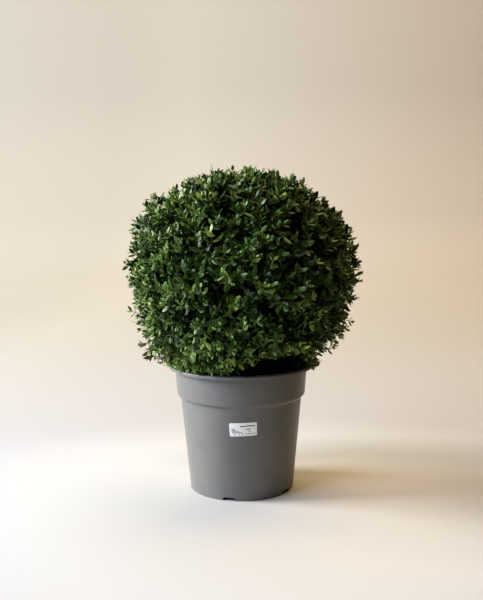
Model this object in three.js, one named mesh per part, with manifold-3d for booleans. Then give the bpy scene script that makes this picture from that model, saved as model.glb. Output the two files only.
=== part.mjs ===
/*
 * A clipped box ball in its round nursery pot, in millimetres, +Z up.
 *
 * The origin is the middle of the pot's flat underside. The front, where the label is, faces -Y,
 * and azimuths are counted from there towards +X. The plant has a short stem: a trunk with a root
 * flare stands on the soil and carries one clipped mass. The mass grows from its own stem on the
 * trunk's tip, by boughs, shoots and twigs with opposite leaves, around a dense core.
 */
import * as THREE from 'three';
import { mergeVertices } from 'three/addons/utils/BufferGeometryUtils.js';
import Module from 'manifold-3d';

const wasm = await Module();
wasm.setup();

// ---- Driving dimensions: millimetres, degrees, and shares of 1 ----

const FIT_GAP = 0.3; // between two separate pieces that rest on each other
const ROUND_STEPS = 50; // sides of what is turned round the pot's axis

const POT = {
  height: 220,
  wall: 2,
  lipRadius: 125,
  lipSkirt: 7, // how far the lip's outer edge turns down
  lipEdge: 1.5, // bevel round the lip's top
  collarTopRadius: 114.2,
  collarFootRadius: 110.7,
  collarFootHeight: 165.5,
  shoulderRadius: 104.8,
  shoulderHeight: 157.5,
  footRadius: 89.6,
  footCorner: 1.6,
  footRing: 4, // thickness of the ring that the wall stands on
  seatRadius: 58, // flat disc in the middle of the underside
  channelHeight: 6, // raised floor between the disc and the ring
  channelSlope: 3,
};

const DRAIN = {
  count: 5,
  firstAzimuth: -14.3,
  notchWidth: 21,
  notchHeight: 5,
  notchCorner: 1.8,
  holeRadius: 5,
  holeDistance: 73,
};

const SOIL = { edgeHeight: 201, middleHeight: 205, trunkSeat: 32 };

const LABEL = {
  width: 47,
  height: 25,
  thickness: 0.4,
  corner: 1.6,
  azimuth: 1.6,
  middleHeight: 128,
  tilt: 3,
};

const TRUNK = {
  footRadius: 18,
  neckRadius: 12,
  tipRadius: 10,
  flareHeight: 8,
  length: 46,
  lean: new THREE.Vector2(4, 2),
  roots: 5,
  rootDepth: 0.2,
};

const CROWN = {
  centre: new THREE.Vector3(6, 0, 365),
  halfWidth: 193,
  halfHeight: 184,
  tipShare: 0.07, // how far single leaves stand proud of the clipped surface
  ripple: 3,
};

// Where the clipped surface stands proud of its ellipsoid, or falls short of it.
const SWELLS = [
  { name: 'left shoulder', azimuth: -90, elevation: 34, proud: 17, spread: 14 },
  { name: 'low left tuft', azimuth: -90, elevation: -37, proud: 26, spread: 9 },
  { name: 'right flank', azimuth: 90, elevation: 22, proud: 4, spread: 16 },
];

// The lower edge of the foliage: it hangs into the pot's mouth and over its lip, and is lifted
// clear of both at the front right.
const HEM = { aboveSoil: 7, overLip: 1.2, lift: 30, liftAzimuth: 34, liftSpread: 34 };

// The dense inside of the crown, drawn in from the clipped surface, with a vault over the trunk.
const CORE = { share: 0.88, detail: 4, roughness: 5, vaultRadius: 62, vaultTop: 262 };

const FOLIAGE = {
  seed: 20,
  boughs: 16,
  boughShare: 0.6,
  boughRadius: 6,
  longShoots: 68, // they stand out of the core, to shares of the crown's reach
  longReach: [0.92, 0.97],
  shortShoots: 92, // they end below the core's surface, so that only their leaves show
  shortDepth: 4,
  shootRadius: 2.6,
  twigRadius: 2,
  rootDepth: 0.4, // how far a leaf's root lies behind its shoot's axis
  attempts: 8,
  pairFromTip: 4,
  leafLength: 39,
  leafWidth: 21,
  leafThickness: 2.2,
  pairSpread: 70,
  tipSpread: 38,
};

const COLOURS = {
  pot: { color: 0x7c7d7b, roughness: 0.45 },
  soil: { color: 0x1d1610, roughness: 0.95 },
  label: { color: 0xf1f1ee, roughness: 0.55 },
  bark: { color: 0x6a5c45, roughness: 0.9 },
  leaves: { color: 0x2c4519, roughness: 0.4 },
};

// ---- Small helpers ----

const radians = THREE.MathUtils.degToRad;
const UP = new THREE.Vector3(0, 0, 1);

/** A repeatable stream of numbers from 0 to 1 (mulberry32). */
function seededRandom(seed) {
  let state = seed >>> 0;
  return () => {
    state = (state + 0x6d2b79f5) >>> 0;
    let mixed = Math.imul(state ^ (state >>> 15), 1 | state);
    mixed = (mixed + Math.imul(mixed ^ (mixed >>> 7), 61 | mixed)) ^ mixed;
    return ((mixed ^ (mixed >>> 14)) >>> 0) / 4294967296;
  };
}

/** The unit vector at an azimuth from the front and an elevation above level, in degrees. */
function directionAt(azimuth, elevation) {
  const level = Math.cos(radians(elevation));
  return new THREE.Vector3(
    level * Math.sin(radians(azimuth)),
    -level * Math.cos(radians(azimuth)),
    Math.sin(radians(elevation)),
  );
}

/** Evenly spread unit vectors, along a golden-angle spiral from top to bottom. */
function evenDirections(count) {
  const goldenAngle = Math.PI * (3 - Math.sqrt(5));
  return Array.from({ length: count }, (_, index) => {
    const height = 1 - (2 * index + 1) / count;
    const turn = index * goldenAngle;
    return new THREE.Vector3(Math.cos(turn), Math.sin(turn), 0)
      .multiplyScalar(Math.sqrt(1 - height * height))
      .setZ(height);
  });
}

/** A closed geometry as a solid that can be joined and cut. */
function solidOf(geometry) {
  const bare = geometry.clone();
  bare.deleteAttribute('normal');
  bare.deleteAttribute('uv');
  const merged = mergeVertices(bare, 1e-5);
  return new wasm.Manifold(new wasm.Mesh({
    numProp: 3,
    vertProperties: new Float32Array(merged.attributes.position.array),
    triVerts: new Uint32Array(merged.index.array),
  }));
}

/** A solid's surface as a geometry. */
function geometryOf(solid) {
  const { vertProperties, triVerts } = solid.getMesh();
  const geometry = new THREE.BufferGeometry();
  geometry.setAttribute('position', new THREE.BufferAttribute(vertProperties, 3));
  geometry.setIndex(new THREE.BufferAttribute(triVerts, 1));
  geometry.computeVertexNormals();
  return geometry;
}

/** A profile of [radius, height] pairs turned round the Z axis. */
function turned(profile, steps = ROUND_STEPS) {
  const points = profile.map(([radius, height]) => new THREE.Vector2(radius, height));
  return new THREE.LatheGeometry(points, steps).rotateX(Math.PI / 2);
}

/** Moves every vertex of a geometry by a function of its position. */
function reshaped(geometry, move) {
  const position = geometry.attributes.position;
  const point = new THREE.Vector3();
  for (let index = 0; index < position.count; index += 1) {
    move(point.fromBufferAttribute(position, index));
    position.setXYZ(index, point.x, point.y, point.z);
  }
  return geometry;
}

function namedMesh(name, geometry, finish) {
  const mesh = new THREE.Mesh(geometry, new THREE.MeshStandardMaterial({ metalness: 0, ...finish }));
  mesh.name = name;
  return mesh;
}

// ---- Pot ----

/** The body's outer radius at a height below the shoulder. */
function bodyRadius(height) {
  return THREE.MathUtils.lerp(POT.footRadius, POT.shoulderRadius, height / POT.shoulderHeight);
}

/** Half the pot's section, up its outside from the middle of the underside and back down inside. */
function potProfile() {
  const { height, wall, lipRadius, lipSkirt, lipEdge, footRadius, footRing, footCorner } = POT;
  const { seatRadius, channelHeight, channelSlope } = POT;
  const ringInside = footRadius - footRing;
  const lipFoot = height - lipSkirt;
  const floorTop = channelHeight + wall;
  return [
    [0, 0],
    [seatRadius, 0],
    [seatRadius + channelSlope, channelHeight],
    [ringInside - channelSlope / 2, channelHeight],
    [ringInside, 0],
    [footRadius - footCorner, 0],
    [bodyRadius(footCorner), footCorner],
    [POT.shoulderRadius, POT.shoulderHeight],
    [POT.collarFootRadius, POT.collarFootHeight],
    [POT.collarTopRadius, height - wall],
    [lipRadius - wall, height - wall],
    [lipRadius - wall, lipFoot],
    [lipRadius, lipFoot],
    [lipRadius, height - lipEdge],
    [lipRadius - lipEdge, height],
    [POT.collarTopRadius, height],
    [POT.collarTopRadius - wall, height - wall],
    [POT.collarFootRadius - wall, POT.collarFootHeight],
    [POT.shoulderRadius - wall, POT.shoulderHeight],
    [bodyRadius(floorTop) - wall, floorTop],
    [seatRadius - wall / 2 + channelSlope, floorTop],
    [seatRadius - wall / 2, wall],
    [0, wall],
  ];
}

/** A block with rounded upper corners that cuts one notch through the foot ring. */
function notchCutter() {
  const { notchWidth, notchHeight, notchCorner } = DRAIN;
  const side = notchWidth / 2;
  const outline = new THREE.Shape();
  outline.moveTo(-side, -1);
  outline.lineTo(side, -1);
  outline.lineTo(side, notchHeight - notchCorner);
  outline.quadraticCurveTo(side, notchHeight, side - notchCorner, notchHeight);
  outline.lineTo(notchCorner - side, notchHeight);
  outline.quadraticCurveTo(-side, notchHeight, -side, notchHeight - notchCorner);
  const depth = 3 * POT.footRing;
  const block = new THREE.ExtrudeGeometry(outline, { depth, bevelEnabled: false, curveSegments: 3 });
  return block.rotateX(Math.PI / 2).translate(0, depth / 2 - POT.footRadius, 0);
}

/** A round bar that cuts one drain hole through the raised floor. */
function holeCutter() {
  const bar = new THREE.CylinderGeometry(DRAIN.holeRadius, DRAIN.holeRadius, 3 * POT.channelHeight, 12);
  return bar.rotateX(Math.PI / 2).translate(0, -DRAIN.holeDistance, POT.channelHeight);
}

function makePot() {
  let solid = solidOf(turned(potProfile()));
  for (let index = 0; index < DRAIN.count; index += 1) {
    const turn = radians(DRAIN.firstAzimuth + (360 / DRAIN.count) * index);
    for (const cutter of [notchCutter(), holeCutter()]) {
      solid = solid.subtract(solidOf(cutter.rotateZ(turn)));
    }
  }
  return namedMesh('pot', geometryOf(solid), COLOURS.pot);
}

// ---- Soil and label ----

/** The collar's outer radius at a height above the step. */
function collarRadius(height) {
  const share = (height - POT.collarFootHeight) / (POT.height - POT.wall - POT.collarFootHeight);
  return THREE.MathUtils.lerp(POT.collarFootRadius, POT.collarTopRadius, share);
}

/** The fill of the pot: it follows the inside of floor and wall, and its top is slightly crowned. */
function makeSoil() {
  const inset = POT.wall + FIT_GAP;
  const floorTop = POT.channelHeight + inset;
  const edgeRadius = collarRadius(SOIL.edgeHeight);
  const profile = [
    [0, inset],
    [POT.seatRadius - POT.wall, inset],
    [POT.seatRadius - POT.wall + POT.channelSlope, floorTop],
    [bodyRadius(floorTop) - inset, floorTop],
    [POT.shoulderRadius - inset, POT.shoulderHeight],
    [POT.collarFootRadius - inset, POT.collarFootHeight],
    [edgeRadius - inset, SOIL.edgeHeight],
    [(edgeRadius + SOIL.trunkSeat) / 2, THREE.MathUtils.lerp(SOIL.edgeHeight, SOIL.middleHeight, 0.7)],
    [SOIL.trunkSeat, SOIL.middleHeight],
    [0, SOIL.middleHeight],
  ];
  return namedMesh('soil', geometryOf(solidOf(turned(profile))), COLOURS.soil);
}

/** A thin plate with clipped corners, wrapped round the pot's wall and slightly tilted. */
function makeLabel() {
  const { width, height, thickness, corner, middleHeight, tilt, azimuth } = LABEL;
  const steps = 12;
  const plate = new THREE.BoxGeometry(width, thickness, height, steps, 1, 1);
  reshaped(plate, (point) => {
    const endsHere = Math.abs(point.x) > width / 2 - 0.1;
    const across = point.x;
    const upwards = endsHere ? point.z * (1 - (2 * corner) / height) : point.z;
    const along = across * Math.cos(radians(tilt)) - upwards * Math.sin(radians(tilt));
    const level = middleHeight + across * Math.sin(radians(tilt)) + upwards * Math.cos(radians(tilt));
    const radius = bodyRadius(level) + FIT_GAP + thickness / 2 - point.y;
    const turn = radians(azimuth) + along / bodyRadius(middleHeight);
    point.set(radius * Math.sin(turn), -radius * Math.cos(turn), level);
  });
  return namedMesh('label', geometryOf(solidOf(plate)), COLOURS.label);
}

// ---- Trunk ----

const TRUNK_FOOT = SOIL.middleHeight + FIT_GAP;

/** The middle of the trunk at a share of its length: it leans a little, and more towards its tip. */
function trunkMiddle(share) {
  const lean = share ** 1.5;
  return new THREE.Vector3(TRUNK.lean.x * lean, TRUNK.lean.y * lean, TRUNK_FOOT + TRUNK.length * share);
}

/** A tapering stem whose foot spreads into root ridges. */
function makeTrunk() {
  const stem = new THREE.CylinderGeometry(1, 1, 1, 3 * TRUNK.roots, 7).rotateX(Math.PI / 2);
  reshaped(stem, (point) => {
    const share = (point.z + 0.5) ** 1.4;
    const rise = share * TRUNK.length;
    const flare = Math.exp(-rise / TRUNK.flareHeight);
    const taper = THREE.MathUtils.lerp(TRUNK.neckRadius, TRUNK.tipRadius, share);
    const ridge = 1 + TRUNK.rootDepth * flare * Math.cos(TRUNK.roots * Math.atan2(point.y, point.x));
    const radius = (taper + (TRUNK.footRadius - TRUNK.neckRadius) * flare) * ridge;
    const middle = trunkMiddle(share);
    point.set(middle.x + point.x * radius, middle.y + point.y * radius, middle.z);
  });
  return namedMesh('trunk', geometryOf(solidOf(stem)), COLOURS.bark);
}

// ---- Crown: its clipped surface and its lower edge ----

/** How far the clipped surface is from the crown's centre in a direction. */
function crownReach(direction) {
  const level = Math.hypot(direction.x, direction.y);
  let reach = 1 / Math.hypot(level / CROWN.halfWidth, direction.z / CROWN.halfHeight);
  for (const { azimuth, elevation, proud, spread } of SWELLS) {
    const away = THREE.MathUtils.radToDeg(direction.angleTo(directionAt(azimuth, elevation)));
    reach += proud * Math.exp(-((away / spread) ** 2));
  }
  const wave = Math.sin(5 * direction.x + 3 * direction.z) * Math.cos(6 * direction.y - 4 * direction.z);
  return reach + CROWN.ripple * wave;
}

/** The height of the foliage's lower edge over an (x, y) place. */
function hemHeight(point) {
  const azimuth = THREE.MathUtils.radToDeg(Math.atan2(point.x, -point.y));
  const away = (azimuth - HEM.liftAzimuth) / HEM.liftSpread;
  const outwards = Math.min(1, Math.hypot(point.x, point.y) / POT.lipRadius);
  return SOIL.edgeHeight + HEM.aboveSoil + HEM.lift * Math.exp(-away * away) * outwards;
}

/** True where a leaf or twig may be: inside the clipped space and above the hem. */
function insideSpace(point) {
  const outward = point.clone().sub(CROWN.centre);
  const distance = outward.length();
  const withinReach = distance <= crownReach(outward.normalize()) * (1 + CROWN.tipShare);
  return withinReach && point.z >= hemHeight(point);
}

// ---- Crown: stem, boughs, shoots, twigs and leaves ----

/** A straight tapering limb with flat ends. */
function limb(start, end, startRadius, endRadius, sides) {
  const axis = end.clone().sub(start);
  const bar = new THREE.CylinderGeometry(endRadius, startRadius, axis.length(), sides);
  bar.rotateX(Math.PI / 2);
  const turn = new THREE.Quaternion().setFromUnitVectors(UP, axis.clone().normalize());
  const middle = start.clone().add(end).multiplyScalar(0.5);
  return solidOf(bar.applyQuaternion(turn).translate(middle.x, middle.y, middle.z));
}

/** The corners of a leaf, round from its root: its edges lie lower than the line from root to tip. */
function leafCorners(root, along, across, length) {
  const drop = new THREE.Vector3().crossVectors(along, across).multiplyScalar(FOLIAGE.leafThickness);
  const halfWidth = FOLIAGE.leafWidth / 2;
  const corner = (forward, sideways, lowered) => root.clone()
    .addScaledVector(along, forward * length)
    .addScaledVector(across, sideways * halfWidth)
    .addScaledVector(drop, lowered);
  return [
    corner(0, 0, 0),
    corner(0.36, 0.96, 1),
    corner(0.74, 0.8, 1),
    corner(1, 0, 0),
    corner(0.74, -0.8, 1),
    corner(0.36, -0.96, 1),
  ];
}

/** A blade of eight faces: two on each side of its midrib above, and four across it below. */
function leafSolid(corners) {
  const blade = new THREE.BufferGeometry().setFromPoints(corners);
  blade.setIndex([
    0, 1, 3, 1, 2, 3, 0, 3, 5, 3, 4, 5,
    0, 5, 1, 5, 4, 1, 4, 2, 1, 4, 3, 2,
  ]);
  return solidOf(blade);
}

/** A unit vector square to the axis, turned round it by an angle. */
function squareTo(axis, angle) {
  const helper = Math.abs(axis.z) < 0.9 ? UP : new THREE.Vector3(1, 0, 0);
  return new THREE.Vector3().crossVectors(axis, helper).normalize().applyAxisAngle(axis, angle);
}

/** True if a solid overlaps any of the others. */
function touchesAny(solid, others) {
  const box = solid.boundingBox();
  return others.some(({ body, box: otherBox }) => {
    const apart = box.min.some((low, axis) => low > otherBox.max[axis] || box.max[axis] < otherBox.min[axis]);
    return !apart && !solid.intersect(body).isEmpty();
  });
}

/** One leaf that leaves the line from start to end near its end, or null where it has no room. */
function growLeaf(end, axis, { fromTip, spread, turn, length }, others) {
  const side = squareTo(axis, turn);
  const along = axis.clone().multiplyScalar(Math.cos(spread)).addScaledVector(side, Math.sin(spread));
  const across = new THREE.Vector3().crossVectors(side, along).normalize();
  const root = end.clone().addScaledVector(axis, -fromTip).addScaledVector(along, -FOLIAGE.rootDepth);
  const corners = leafCorners(root, along, across, length);
  const solid = leafSolid(corners);
  return corners.slice(1).every(insideSpace) && !touchesAny(solid, others) ? solid : null;
}

/** Leaves on a shoot: one opposite pair and one leaf at the tip, turned to where most find room. */
function growLeaves(start, end, others, random) {
  const axis = end.clone().sub(start).normalize();
  let best = [];
  for (let attempt = 0; attempt < FOLIAGE.attempts && best.length < 3; attempt += 1) {
    const turn = random() * Math.PI;
    const length = FOLIAGE.leafLength * (0.85 + 0.3 * random());
    const spread = radians(FOLIAGE.pairSpread) * (0.85 + 0.3 * random());
    const tipSpread = radians(FOLIAGE.tipSpread) * (0.6 + 0.8 * random());
    const leaves = [
      { fromTip: FOLIAGE.pairFromTip, spread, turn, length },
      { fromTip: FOLIAGE.pairFromTip, spread, turn: turn + Math.PI, length },
      { fromTip: 1, spread: tipSpread, turn: turn + Math.PI / 2, length },
    ].map((placing) => growLeaf(end, axis, placing, others)).filter(Boolean);
    if (leaves.length > best.length) best = leaves;
  }
  return best;
}

/** A solid with its box, for the test of what touches it. */
const boxed = (body) => ({ body, box: body.boundingBox() });

/** The space of the soil and the pot's upper part, which nothing grows into. */
function potSpace() {
  const mouth = POT.collarTopRadius - 3 * POT.wall;
  const outside = POT.lipRadius + HEM.overLip;
  const lipTop = POT.height + HEM.overLip;
  const soilTop = SOIL.middleHeight + HEM.overLip;
  const low = POT.collarFootHeight;
  const lip = [[outside, low], [outside, lipTop], [mouth, lipTop], [mouth, soilTop]];
  return turned([[0, low], ...lip, [0, soilTop]]);
}

/** A dome over the trunk, from the soil up, that stays open inside the crown. */
function trunkVault() {
  const steps = 5;
  const dome = Array.from({ length: steps }, (_, step) => {
    const angle = (step / steps) * (Math.PI / 2);
    const rise = (CORE.vaultTop - SOIL.middleHeight) * Math.sin(angle);
    return [CORE.vaultRadius * Math.cos(angle), SOIL.middleHeight + rise];
  });
  const low = POT.collarFootHeight;
  return turned([[0, low], [CORE.vaultRadius, low], ...dome, [0, CORE.vaultTop]], ROUND_STEPS / 2);
}

/** Shoots in even directions: each leaves the nearest bough's tip and ends at its own reach. */
function growShoots(count, reachIn, boughTips, grown, random) {
  const closedSpaces = [potSpace(), trunkVault()].map((space) => boxed(solidOf(space)));
  const nearer = (place) => (best, next) => (next.distanceTo(place) < best.distanceTo(place) ? next : best);
  return evenDirections(count).flatMap((direction) => {
    const tip = CROWN.centre.clone().addScaledVector(direction, reachIn(direction));
    const start = boughTips.reduce(nearer(tip));
    const shoot = limb(start, tip, FOLIAGE.shootRadius, FOLIAGE.twigRadius, 3);
    if (!insideSpace(tip) || touchesAny(shoot, closedSpaces)) return [];
    const leaves = growLeaves(start, tip, [...closedSpaces, ...grown], random);
    grown.push(...leaves.map(boxed));
    return [shoot, ...leaves];
  });
}

/** How far the core's rough surface is from the crown's centre in a direction. */
function coreReach(direction) {
  const bump = Math.sin(47 * direction.x + 31 * direction.y) * Math.cos(53 * direction.z - 29 * direction.y);
  return crownReach(direction) * CORE.share + CORE.roughness * bump;
}

/** The dense inside of the crown: its clipped surface drawn in and roughened, and hollow below. */
function crownCore() {
  const ball = reshaped(new THREE.IcosahedronGeometry(1, CORE.detail), (point) => {
    point.multiplyScalar(coreReach(point)).add(CROWN.centre);
    point.z = Math.max(point.z, hemHeight(point));
  });
  return solidOf(ball).subtract(solidOf(trunkVault()));
}

function makeFoliageBall() {
  const random = seededRandom(FOLIAGE.seed);
  const stemFoot = trunkMiddle(1).add(new THREE.Vector3(0, 0, FIT_GAP));
  const stemHead = stemFoot.clone().setZ(CORE.vaultTop + 4 * FOLIAGE.boughRadius);
  const placeAt = (direction, reach) => CROWN.centre.clone().addScaledVector(direction, reach);
  const boughTips = evenDirections(FOLIAGE.boughs)
    .map((direction) => placeAt(direction, crownReach(direction) * FOLIAGE.boughShare))
    .filter((tip) => tip.z > CORE.vaultTop + FOLIAGE.boughRadius);
  const longShare = () => THREE.MathUtils.lerp(...FOLIAGE.longReach, random());
  const longReach = (direction) => crownReach(direction) * longShare();
  const shortReach = (direction) => coreReach(direction) - FOLIAGE.shortDepth;
  const grown = [];
  const pieces = [
    limb(stemFoot, stemHead, TRUNK.tipRadius, TRUNK.tipRadius * 0.9, 9),
    crownCore(),
    ...boughTips.map((tip) => limb(stemHead, tip, FOLIAGE.boughRadius, FOLIAGE.shootRadius, 5)),
    ...growShoots(FOLIAGE.longShoots, longReach, boughTips, grown, random),
    ...growShoots(FOLIAGE.shortShoots, shortReach, boughTips, grown, random),
  ];
  const bodies = wasm.Manifold.union(pieces).decompose();
  const mass = bodies.reduce((best, next) => (next.volume() > best.volume() ? next : best));
  return namedMesh('foliage_ball', geometryOf(mass), COLOURS.leaves);
}

const topiary = new THREE.Group();
topiary.add(makePot(), makeSoil(), makeLabel(), makeTrunk(), makeFoliageBall());

export default topiary;
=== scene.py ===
"""A clipped box ball in its round nursery pot, built for its looks.

Metres, +Z up. The origin is the middle of the pot's flat underside and the label faces -Y.
Azimuths count from the front towards +X. The plant has a short stem: the crown grows on it by
the same rule as the solids do, by boughs and shoots, and goes on to twigs and single leaves.
"""

import logging
import math
from dataclasses import dataclass, field
from enum import Enum
from functools import cache

import bpy
import numpy as np
from mathutils import Matrix


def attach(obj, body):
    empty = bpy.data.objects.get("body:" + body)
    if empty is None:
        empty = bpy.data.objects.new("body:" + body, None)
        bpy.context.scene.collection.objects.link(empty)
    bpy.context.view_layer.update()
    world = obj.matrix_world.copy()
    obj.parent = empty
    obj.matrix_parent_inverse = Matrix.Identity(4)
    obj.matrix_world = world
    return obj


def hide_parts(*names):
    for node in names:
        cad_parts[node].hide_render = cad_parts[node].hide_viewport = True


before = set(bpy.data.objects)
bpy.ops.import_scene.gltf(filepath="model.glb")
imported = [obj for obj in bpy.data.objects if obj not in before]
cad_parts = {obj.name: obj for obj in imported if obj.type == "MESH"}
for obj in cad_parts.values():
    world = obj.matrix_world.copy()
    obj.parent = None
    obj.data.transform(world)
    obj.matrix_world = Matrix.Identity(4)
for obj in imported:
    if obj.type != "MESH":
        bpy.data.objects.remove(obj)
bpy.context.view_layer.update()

LOG = logging.getLogger("box_ball")
MM = 0.001
TURN = 2 * math.pi
GOLDEN_ANGLE = math.pi * (3 - math.sqrt(5))


# ---- Small helpers ----


def linear(code: str) -> tuple[float, float, float, float]:
    """Turns an sRGB hex colour into the linear colour that a shader takes.

    Args:
        code: The colour as "#rrggbb".

    Returns:
        Linear red, green, blue and an alpha of 1.
    """
    parts = [int(code[start : start + 2], 16) / 255 for start in (1, 3, 5)]
    curve = [part / 12.92 if part <= 0.04045 else ((part + 0.055) / 1.055) ** 2.4 for part in parts]
    return (*curve, 1.0)


def per_metre(size: float) -> float:
    """The scale that gives a pattern a real size, in millimetres."""
    return 1 / (size * MM)


def add_node(
    tree: bpy.types.NodeTree,
    kind: str,
    inputs: dict | None = None,
    settings: dict | None = None,
    stops: list | None = None,
) -> bpy.types.Node:
    """Adds one shader node with its settings, values and links.

    Args:
        tree: The tree that gets the node.
        kind: The node's type, such as "TexNoise".
        inputs: A value, or an output socket to link, by the input's name or number.
        settings: Attributes of the node by name.
        stops: Place and colour of each stop of a colour ramp, the colour in sRGB hex or linear.

    Returns:
        The new node.
    """
    node = tree.nodes.new(f"ShaderNode{kind}")
    for name, value in (settings or {}).items():
        setattr(node, name, value)
    for name, value in (inputs or {}).items():
        if isinstance(value, bpy.types.NodeSocket):
            tree.links.new(value, node.inputs[name])
        else:
            node.inputs[name].default_value = value
    if stops:
        elements = node.color_ramp.elements
        while len(elements) < len(stops):
            elements.new(0.5)
        for element, (place, colour) in zip(elements, stops):
            element.position, element.color = place, linear(colour) if isinstance(colour, str) else colour
    return node


def new_material(name: str) -> tuple[bpy.types.Material, bpy.types.NodeTree]:
    """Makes an empty node material and returns it with its tree."""
    material = bpy.data.materials.new(name)
    material.use_nodes = True
    material.node_tree.nodes.clear()
    return material, material.node_tree


def end_material(
    material: bpy.types.Material,
    colour: bpy.types.NodeSocket,
    roughness: float | bpy.types.NodeSocket,
    ior: float,
    bump: bpy.types.Node | None = None,
) -> bpy.types.Material:
    """Ends a material's tree with its surface.

    Args:
        material: The material.
        colour: Its colour.
        roughness: Its roughness, as a value or a socket.
        ior: Its index of refraction.
        bump: The bump node of its relief, if it has one.

    Returns:
        The material.
    """
    tree = material.node_tree
    inputs = {"Base Color": colour, "Roughness": roughness, "IOR": ior}
    if bump:
        inputs["Normal"] = bump.outputs["Normal"]
    surface = add_node(tree, "BsdfPrincipled", inputs)
    add_node(tree, "OutputMaterial", {"Surface": surface.outputs["BSDF"]})
    return material


def mesh_object(
    name: str,
    points: np.ndarray,
    faces: list[np.ndarray],
    materials: list[bpy.types.Material],
    charts: list[np.ndarray] | None = None,
    finish_of_face: np.ndarray | None = None,
    sharp_angle: float = 35.0,
) -> bpy.types.Object:
    """Makes a mesh object from whole arrays.

    Args:
        name: The object's and the mesh's name.
        points: Vertices, one row each.
        faces: Arrays of faces, each with its own number of corners to a row.
        materials: The mesh's materials.
        charts: Surface coordinates of every corner, one array for each array of faces.
        finish_of_face: The number of each face's material, in the order of the faces.
        sharp_angle: Edges that fold by more than this many degrees stay sharp.

    Returns:
        The object, linked to the scene.
    """
    mesh = bpy.data.meshes.new(name)
    corners = np.concatenate([part.ravel() for part in faces]).astype(np.int32)
    sizes = np.concatenate([np.full(len(part), part.shape[1]) for part in faces])
    starts = np.concatenate([[0], np.cumsum(sizes)[:-1]]).astype(np.int32)
    mesh.vertices.add(len(points))
    mesh.vertices.foreach_set("co", points.astype(np.float32).ravel())
    mesh.loops.add(len(corners))
    mesh.loops.foreach_set("vertex_index", corners)
    mesh.polygons.add(len(starts))
    mesh.polygons.foreach_set("loop_start", starts)
    if finish_of_face is not None:
        mesh.polygons.foreach_set("material_index", finish_of_face.astype(np.int32))
    if charts is not None:
        layer = mesh.uv_layers.new(name="chart")
        flat = np.concatenate([part.reshape(-1, 2) for part in charts])
        layer.data.foreach_set("uv", flat.astype(np.float32).ravel())
    mesh.update(calc_edges=True)
    mesh.shade_smooth()
    mesh.set_sharp_from_angle(angle=math.radians(sharp_angle))
    for material in materials:
        mesh.materials.append(material)
    made = bpy.data.objects.new(name, mesh)
    bpy.context.scene.collection.objects.link(made)
    return made


def hand_over(piece: bpy.types.Object, node: str) -> None:
    """Lets a piece ride on the part and stand for its solid, which it hides.

    Args:
        piece: The finished piece.
        node: The solid that it replaces.
    """
    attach(piece, "root")
    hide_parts(node)
    piece.data.calc_loop_triangles()
    LOG.info("%s replaces %s: %d triangles", piece.name, node, len(piece.data.loop_triangles))


def unit(rows: np.ndarray) -> np.ndarray:
    """Scales vectors along the last axis to length 1."""
    return rows / np.maximum(np.linalg.norm(rows, axis=-1, keepdims=True), 1e-12)


def around(radius: np.ndarray, azimuth: np.ndarray, height: np.ndarray) -> np.ndarray:
    """Places by their radius, their azimuth from the front in radians, and their height."""
    return np.stack(np.broadcast_arrays(radius * np.sin(azimuth), -radius * np.cos(azimuth), height), axis=-1)


def bezier(controls: list[np.ndarray], share: np.ndarray) -> np.ndarray:
    """Points at shares of the way along a curve that its control points pull towards them.

    Args:
        controls: The start, the control points between, and the end.
        share: Shares from 0 to 1, shaped to match the control points.

    Returns:
        The sum of the control points, each weighted with its Bernstein polynomial.
    """
    last = len(controls) - 1
    weights = [math.comb(last, k) * share**k * (1 - share) ** (last - k) for k in range(last + 1)]
    return sum(weight * control for weight, control in zip(weights, controls))


def even_directions(count: int) -> np.ndarray:
    """Spreads unit vectors evenly along a golden-angle spiral, from top to bottom."""
    index = np.arange(count)
    height = 1 - (2 * index + 1) / count
    level = np.sqrt(1 - height**2)
    turn = index * GOLDEN_ANGLE
    return np.stack([level * np.cos(turn), level * np.sin(turn), height], axis=1)


def ripples(points: np.ndarray, wavelength: float, seed: int) -> np.ndarray:
    """A smooth repeatable unevenness in space, from about -1 to 1.

    Args:
        points: Places, along the last axis.
        wavelength: The distance between neighbouring bumps.
        seed: Picks one of many patterns.

    Returns:
        One number for each place.
    """
    random, count = np.random.default_rng(seed), 7
    waves = unit(random.normal(size=(count, 3))) * random.uniform(0.7, 1.5, (count, 1))
    phases = random.uniform(0, TURN, count)
    angles = points @ waves.T * (TURN / wavelength) + phases
    # The sum of seven waves seldom passes 3.2.
    return np.sin(angles).sum(axis=-1) / 3.2


def turned_grid(
    radii: np.ndarray, heights: np.ndarray, azimuths: np.ndarray, poles: tuple[float, float]
) -> tuple[np.ndarray, list[np.ndarray]]:
    """A closed surface round the Z axis, whose section may change with the azimuth.

    Args:
        radii: Radius at each azimuth and place along the section.
        heights: Height at each azimuth and place along the section.
        azimuths: Azimuths from the front in radians, rising through one turn.
        poles: Heights where the section starts and ends on the axis.

    Returns:
        The points, and arrays of quads and of the triangles round the poles.
    """
    rounds, along = radii.shape
    grid = around(radii, azimuths[:, None], heights).reshape(-1, 3)
    points = np.concatenate([grid, [[0, 0, poles[0]], [0, 0, poles[1]]]])
    here = np.arange(rounds)
    following = (here + 1) % rounds
    place = np.arange(along - 1)
    low, low_next = here[:, None] * along + place, following[:, None] * along + place
    quads = np.stack([low, low_next, low_next + 1, low + 1], axis=-1).reshape(-1, 4)
    first, last = len(grid), len(grid) + 1
    start_fan = np.stack([np.full(rounds, first), following * along, here * along], axis=1)
    end = along - 1
    end_fan = np.stack([here * along + end, following * along + end, np.full(rounds, last)], axis=1)
    return points, [quads, np.concatenate([start_fan, end_fan])]


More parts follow.
